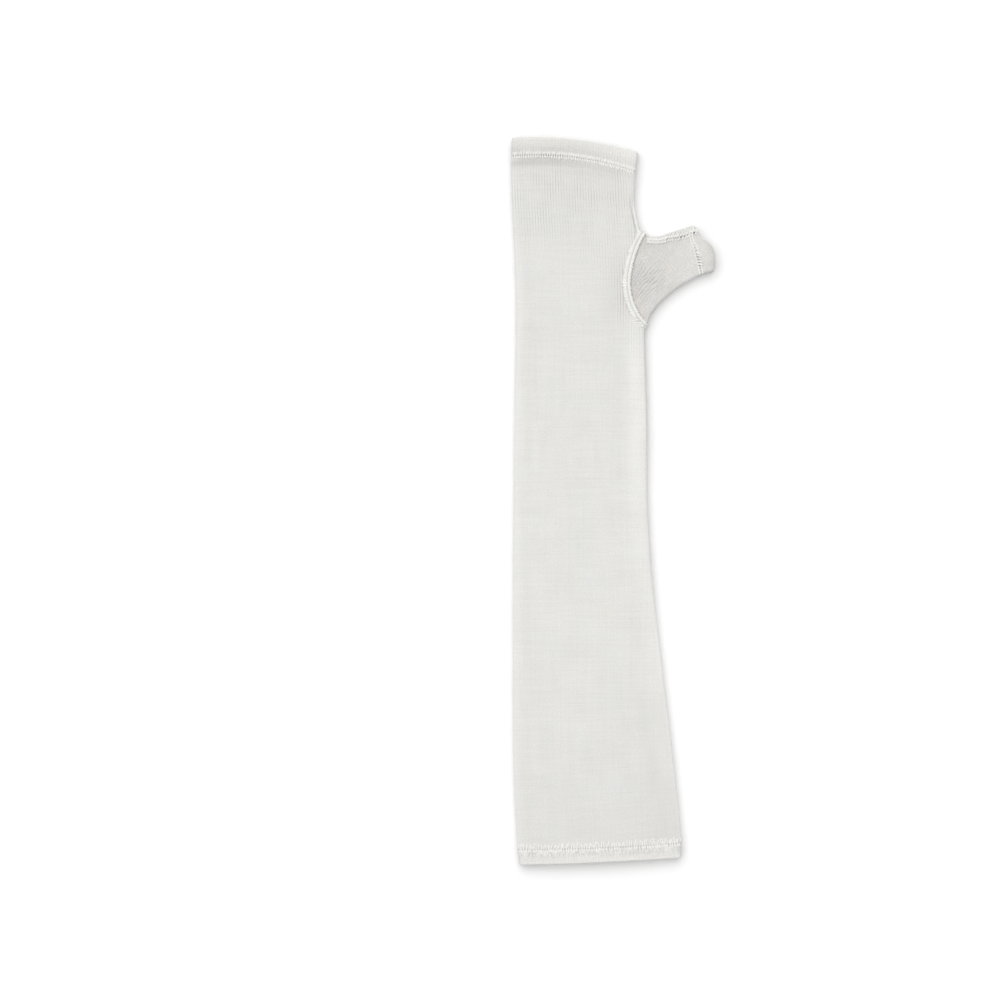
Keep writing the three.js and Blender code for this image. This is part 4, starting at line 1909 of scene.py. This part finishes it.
    def threads(self) -> list[Piece]:
        """Lays the threads that wrap the fold, and the rows of loops on the front.

        Returns:
            The pieces, the wraps first.
        """
        first, last = self.start + 0.5, self.end - 1.0
        rows = (
            # name, start and end along, across, height over the cloth, and the loops
            ("chain", first, last, 0.7, 0.5, Loops(17, -0.35, 0.4, 0.5, 0.58, 0.5, seed=31)),
            ("ticks", 22.0, 47.0, 0.86, 0.15, Loops(10, -0.6, 0.65, 0.5, 0.3, 0.7, seed=32)),
            ("edge", first, last, 0.96, 0.1, Loops(21, -0.3, 0.4, 0.5, 0.34, 0.6, seed=33)),
            ("tip", 47.0, 55.0, 0.8, 0.4, Loops(3, -1.6, 1.7, 0.5, 0.55, 1.0, seed=34)),
        )
        out = [self.stitcher.lay(f"{self.name}_wraps", self.wraps(), 0.31)]
        for name, start, end, across, height, loops in rows:
            along = spaced(start, end, 0.8)
            line = (self.on_fold(along, np.full_like(along, across), height), np.tile(UP, (len(along), 1)))
            out.append(self.stitcher.row(f"{self.name}_{name}", [line], loops))
        return out


@dataclass
class Studio:
    """The floor, the light and the camera."""

    floor_size: float = 8.0
    floor_level: float = -0.0002
    middle: Pair = (-0.06827, 0.00042)  # what the camera looks down on
    view_width: float = 0.6044
    outline_level: float = 0.00375  # height of the folded edges' outermost points
    lens: float = 180.0
    sensor: float = 36.0
    clip_end: float = 50.0
    sky: float = 0.56
    key_from: tuple[float, float, float] = (-0.15, 0.33, 0.93)
    key_spread: float = 76.0  # degrees across
    key_strength: float = 2.36

    def floor(self) -> None:
        """Builds the floor."""
        half = self.floor_size / 2
        corners = np.array([[-half, -half], [half, -half], [half, half], [-half, half]]) / MM
        points = np.column_stack([corners, np.full(4, self.floor_level / MM)]) + CENTRE
        floor = linked("floor", mesh_of("floor", points, [], [[0, 1, 2, 3]]))
        floor.data.materials.append(FloorFinish().material())

    def light(self) -> None:
        """Builds the sky and the wide key light."""
        world = bpy.data.worlds.new("soft_room")
        world.use_nodes = True
        background = next(n for n in world.node_tree.nodes if n.type == "BACKGROUND")
        background.inputs["Color"].default_value = (1.0, 1.0, 1.0, 1.0)
        background.inputs["Strength"].default_value = self.sky
        bpy.context.scene.world = world
        light = bpy.data.lights.new("soft_key", "SUN")
        light.angle = math.radians(self.key_spread)
        light.energy = self.key_strength
        lamp = linked("soft_key", light)
        lamp.location = Vector(self.key_from).normalized()
        lamp.rotation_euler = lamp.location.to_track_quat("Z", "Y").to_euler()

    def camera(self) -> None:
        """Points the camera straight down."""
        camera = bpy.data.cameras.new("camera")
        camera.lens = self.lens
        camera.sensor_width = self.sensor
        camera.clip_end = self.clip_end
        eye = linked("camera", camera)
        distance = self.view_width * self.lens / self.sensor
        eye.location = (*self.middle, distance + self.outline_level)
        bpy.context.scene.camera = eye
        bpy.context.scene.view_settings.view_transform = "Standard"
        log.info("studio: camera %.3f m up", eye.location.z)

    def build(self) -> None:
        """Builds the studio."""
        for part in (self.floor, self.light, self.camera):
            part()


def hems(stitcher: Stitcher) -> list[Hem]:
    """Gives the three hems' sizes.

    Args:
        stitcher: What lays their stitches.

    Returns:
        The finger hem, the elbow hem and the thumb hem.
    """
    knit = KnitFinish("hem_knit", (0.64, 0.633, 0.608), courses=0.6, rows=0.08, speckle=0.15)
    finger = Hem(
        "finger_hem", SLEEVE, FINGER_STITCHING, FINGER_MOUTH, knit, stitcher,
        pitch=1.45, thread=0.38, height=0.2, lean=0.1, uneven=0.2, start=0.2, teeth=(2.4, 2.0),
        pit_shade=0.55, dots=(-43.0, 21.0), band=0.1, lip=0.045, slope=(0.0008, -28.0),
        fuzz=0.06, plain=0.7, seed=3,
    )
    elbow = Hem(
        "elbow_hem", SLEEVE, ELBOW_STITCHING, 0.0, knit, stitcher,
        pitch=1.55, thread=0.44, height=0.14, lean=0.15, uneven=0.2, start=0.25, teeth=(1.8, 3.3),
        groove=0.08, pit=0.25, pit_shade=0.2, band=0.045, lightness=1.005,
        fuzz=0.17, plain=0.4, seed=5,
    )
    thumb = Hem(
        "thumb_hem", THUMB, THUMB_STITCHING, THUMB_MOUTH, knit, stitcher,
        pitch=1.9, thread=0.3, height=0.3, start=0.25, teeth=(0.9, 0.9), spacing=0.4,
        groove=0.0, pit=0.6, pit_shade=0.5, dots=(50.8, 1.9), shallow=0.08, dusk=0.1,
        slope=(-0.006, 49.0), fuzz=0.06, strands=(-1.0, 1.0), bunch=(1.58, 1.9),
        grain=Grain.BIAS, ribs=0.7, seed=9,
    )
    return [finger, elbow, thumb]


def main() -> None:
    """Builds the arm warmer from its sub-assemblies, and the studio round it."""
    logging.basicConfig(level=logging.INFO, format="%(name)s: %(message)s")
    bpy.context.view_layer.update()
    sleeve_knit = KnitFinish("sleeve_knit", (0.63, 0.6245, 0.603), gap_shade=0.165, rows=0.055, speckle=0.1)
    # its base is darker than the sleeve's: painted shade over the thumb, which lies below the seam
    thumb_knit = KnitFinish(
        "thumb_knit", (0.616, 0.602, 0.581),
        wale=0.002, course=0.0014, depth=0.0002, gap_shade=0.3, wander=2.6, courses=0.4,
        patch=(0.004, 0.0042), mottling=0.11, mottles=100.0, speckle=0.2, warmth=0.05,
    )
    seam_knit = KnitFinish("seam_knit", (0.69, 0.685, 0.66), wale=0.0016, course=0.0012)
    thread = ThreadFinish("seam_thread", (0.74, 0.735, 0.71)).material()
    stitcher = Stitcher(loop_row_tree(), thread_tree(), thread)
    sleeve_rows = spaced(ELBOW_STITCHING + HEM_BEHIND, FINGER_STITCHING - HEM_BEHIND, 1.5)
    thumb_rows = spaced(0.5, THUMB_STITCHING - HEM_BEHIND, 0.7)
    sleeve = SleeveCloth(
        "sleeve_cloth", "sleeve", SLEEVE, Slot.SLEEVE, sleeve_knit, sleeve_rows, columns_of(13, 58, 26)
    )
    thumb = ThumbCloth(
        "thumb_cloth", "thumb_tube", THUMB, Slot.THUMB, thumb_knit, thumb_rows, columns_of(13, 44, 26)
    )
    sleeve_piece, thumb_piece = sleeve.build(), thumb.build()
    finger_hem, elbow_hem, thumb_hem = (hem.build() for hem in hems(stitcher))
    set_in = SetInSeam(seam_knit, stitcher).build()
    top = TopSeam(seam_knit, stitcher, THUMB).build()
    sleeve.flat_size()
    sleeve.flat_area()
    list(finger_hem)
    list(elbow_hem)
    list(set_in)
    thumb.flat_size()
    thumb.flat_area()
    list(thumb_hem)
    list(top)
    Studio().build()


if __name__ == "__main__":
    main()
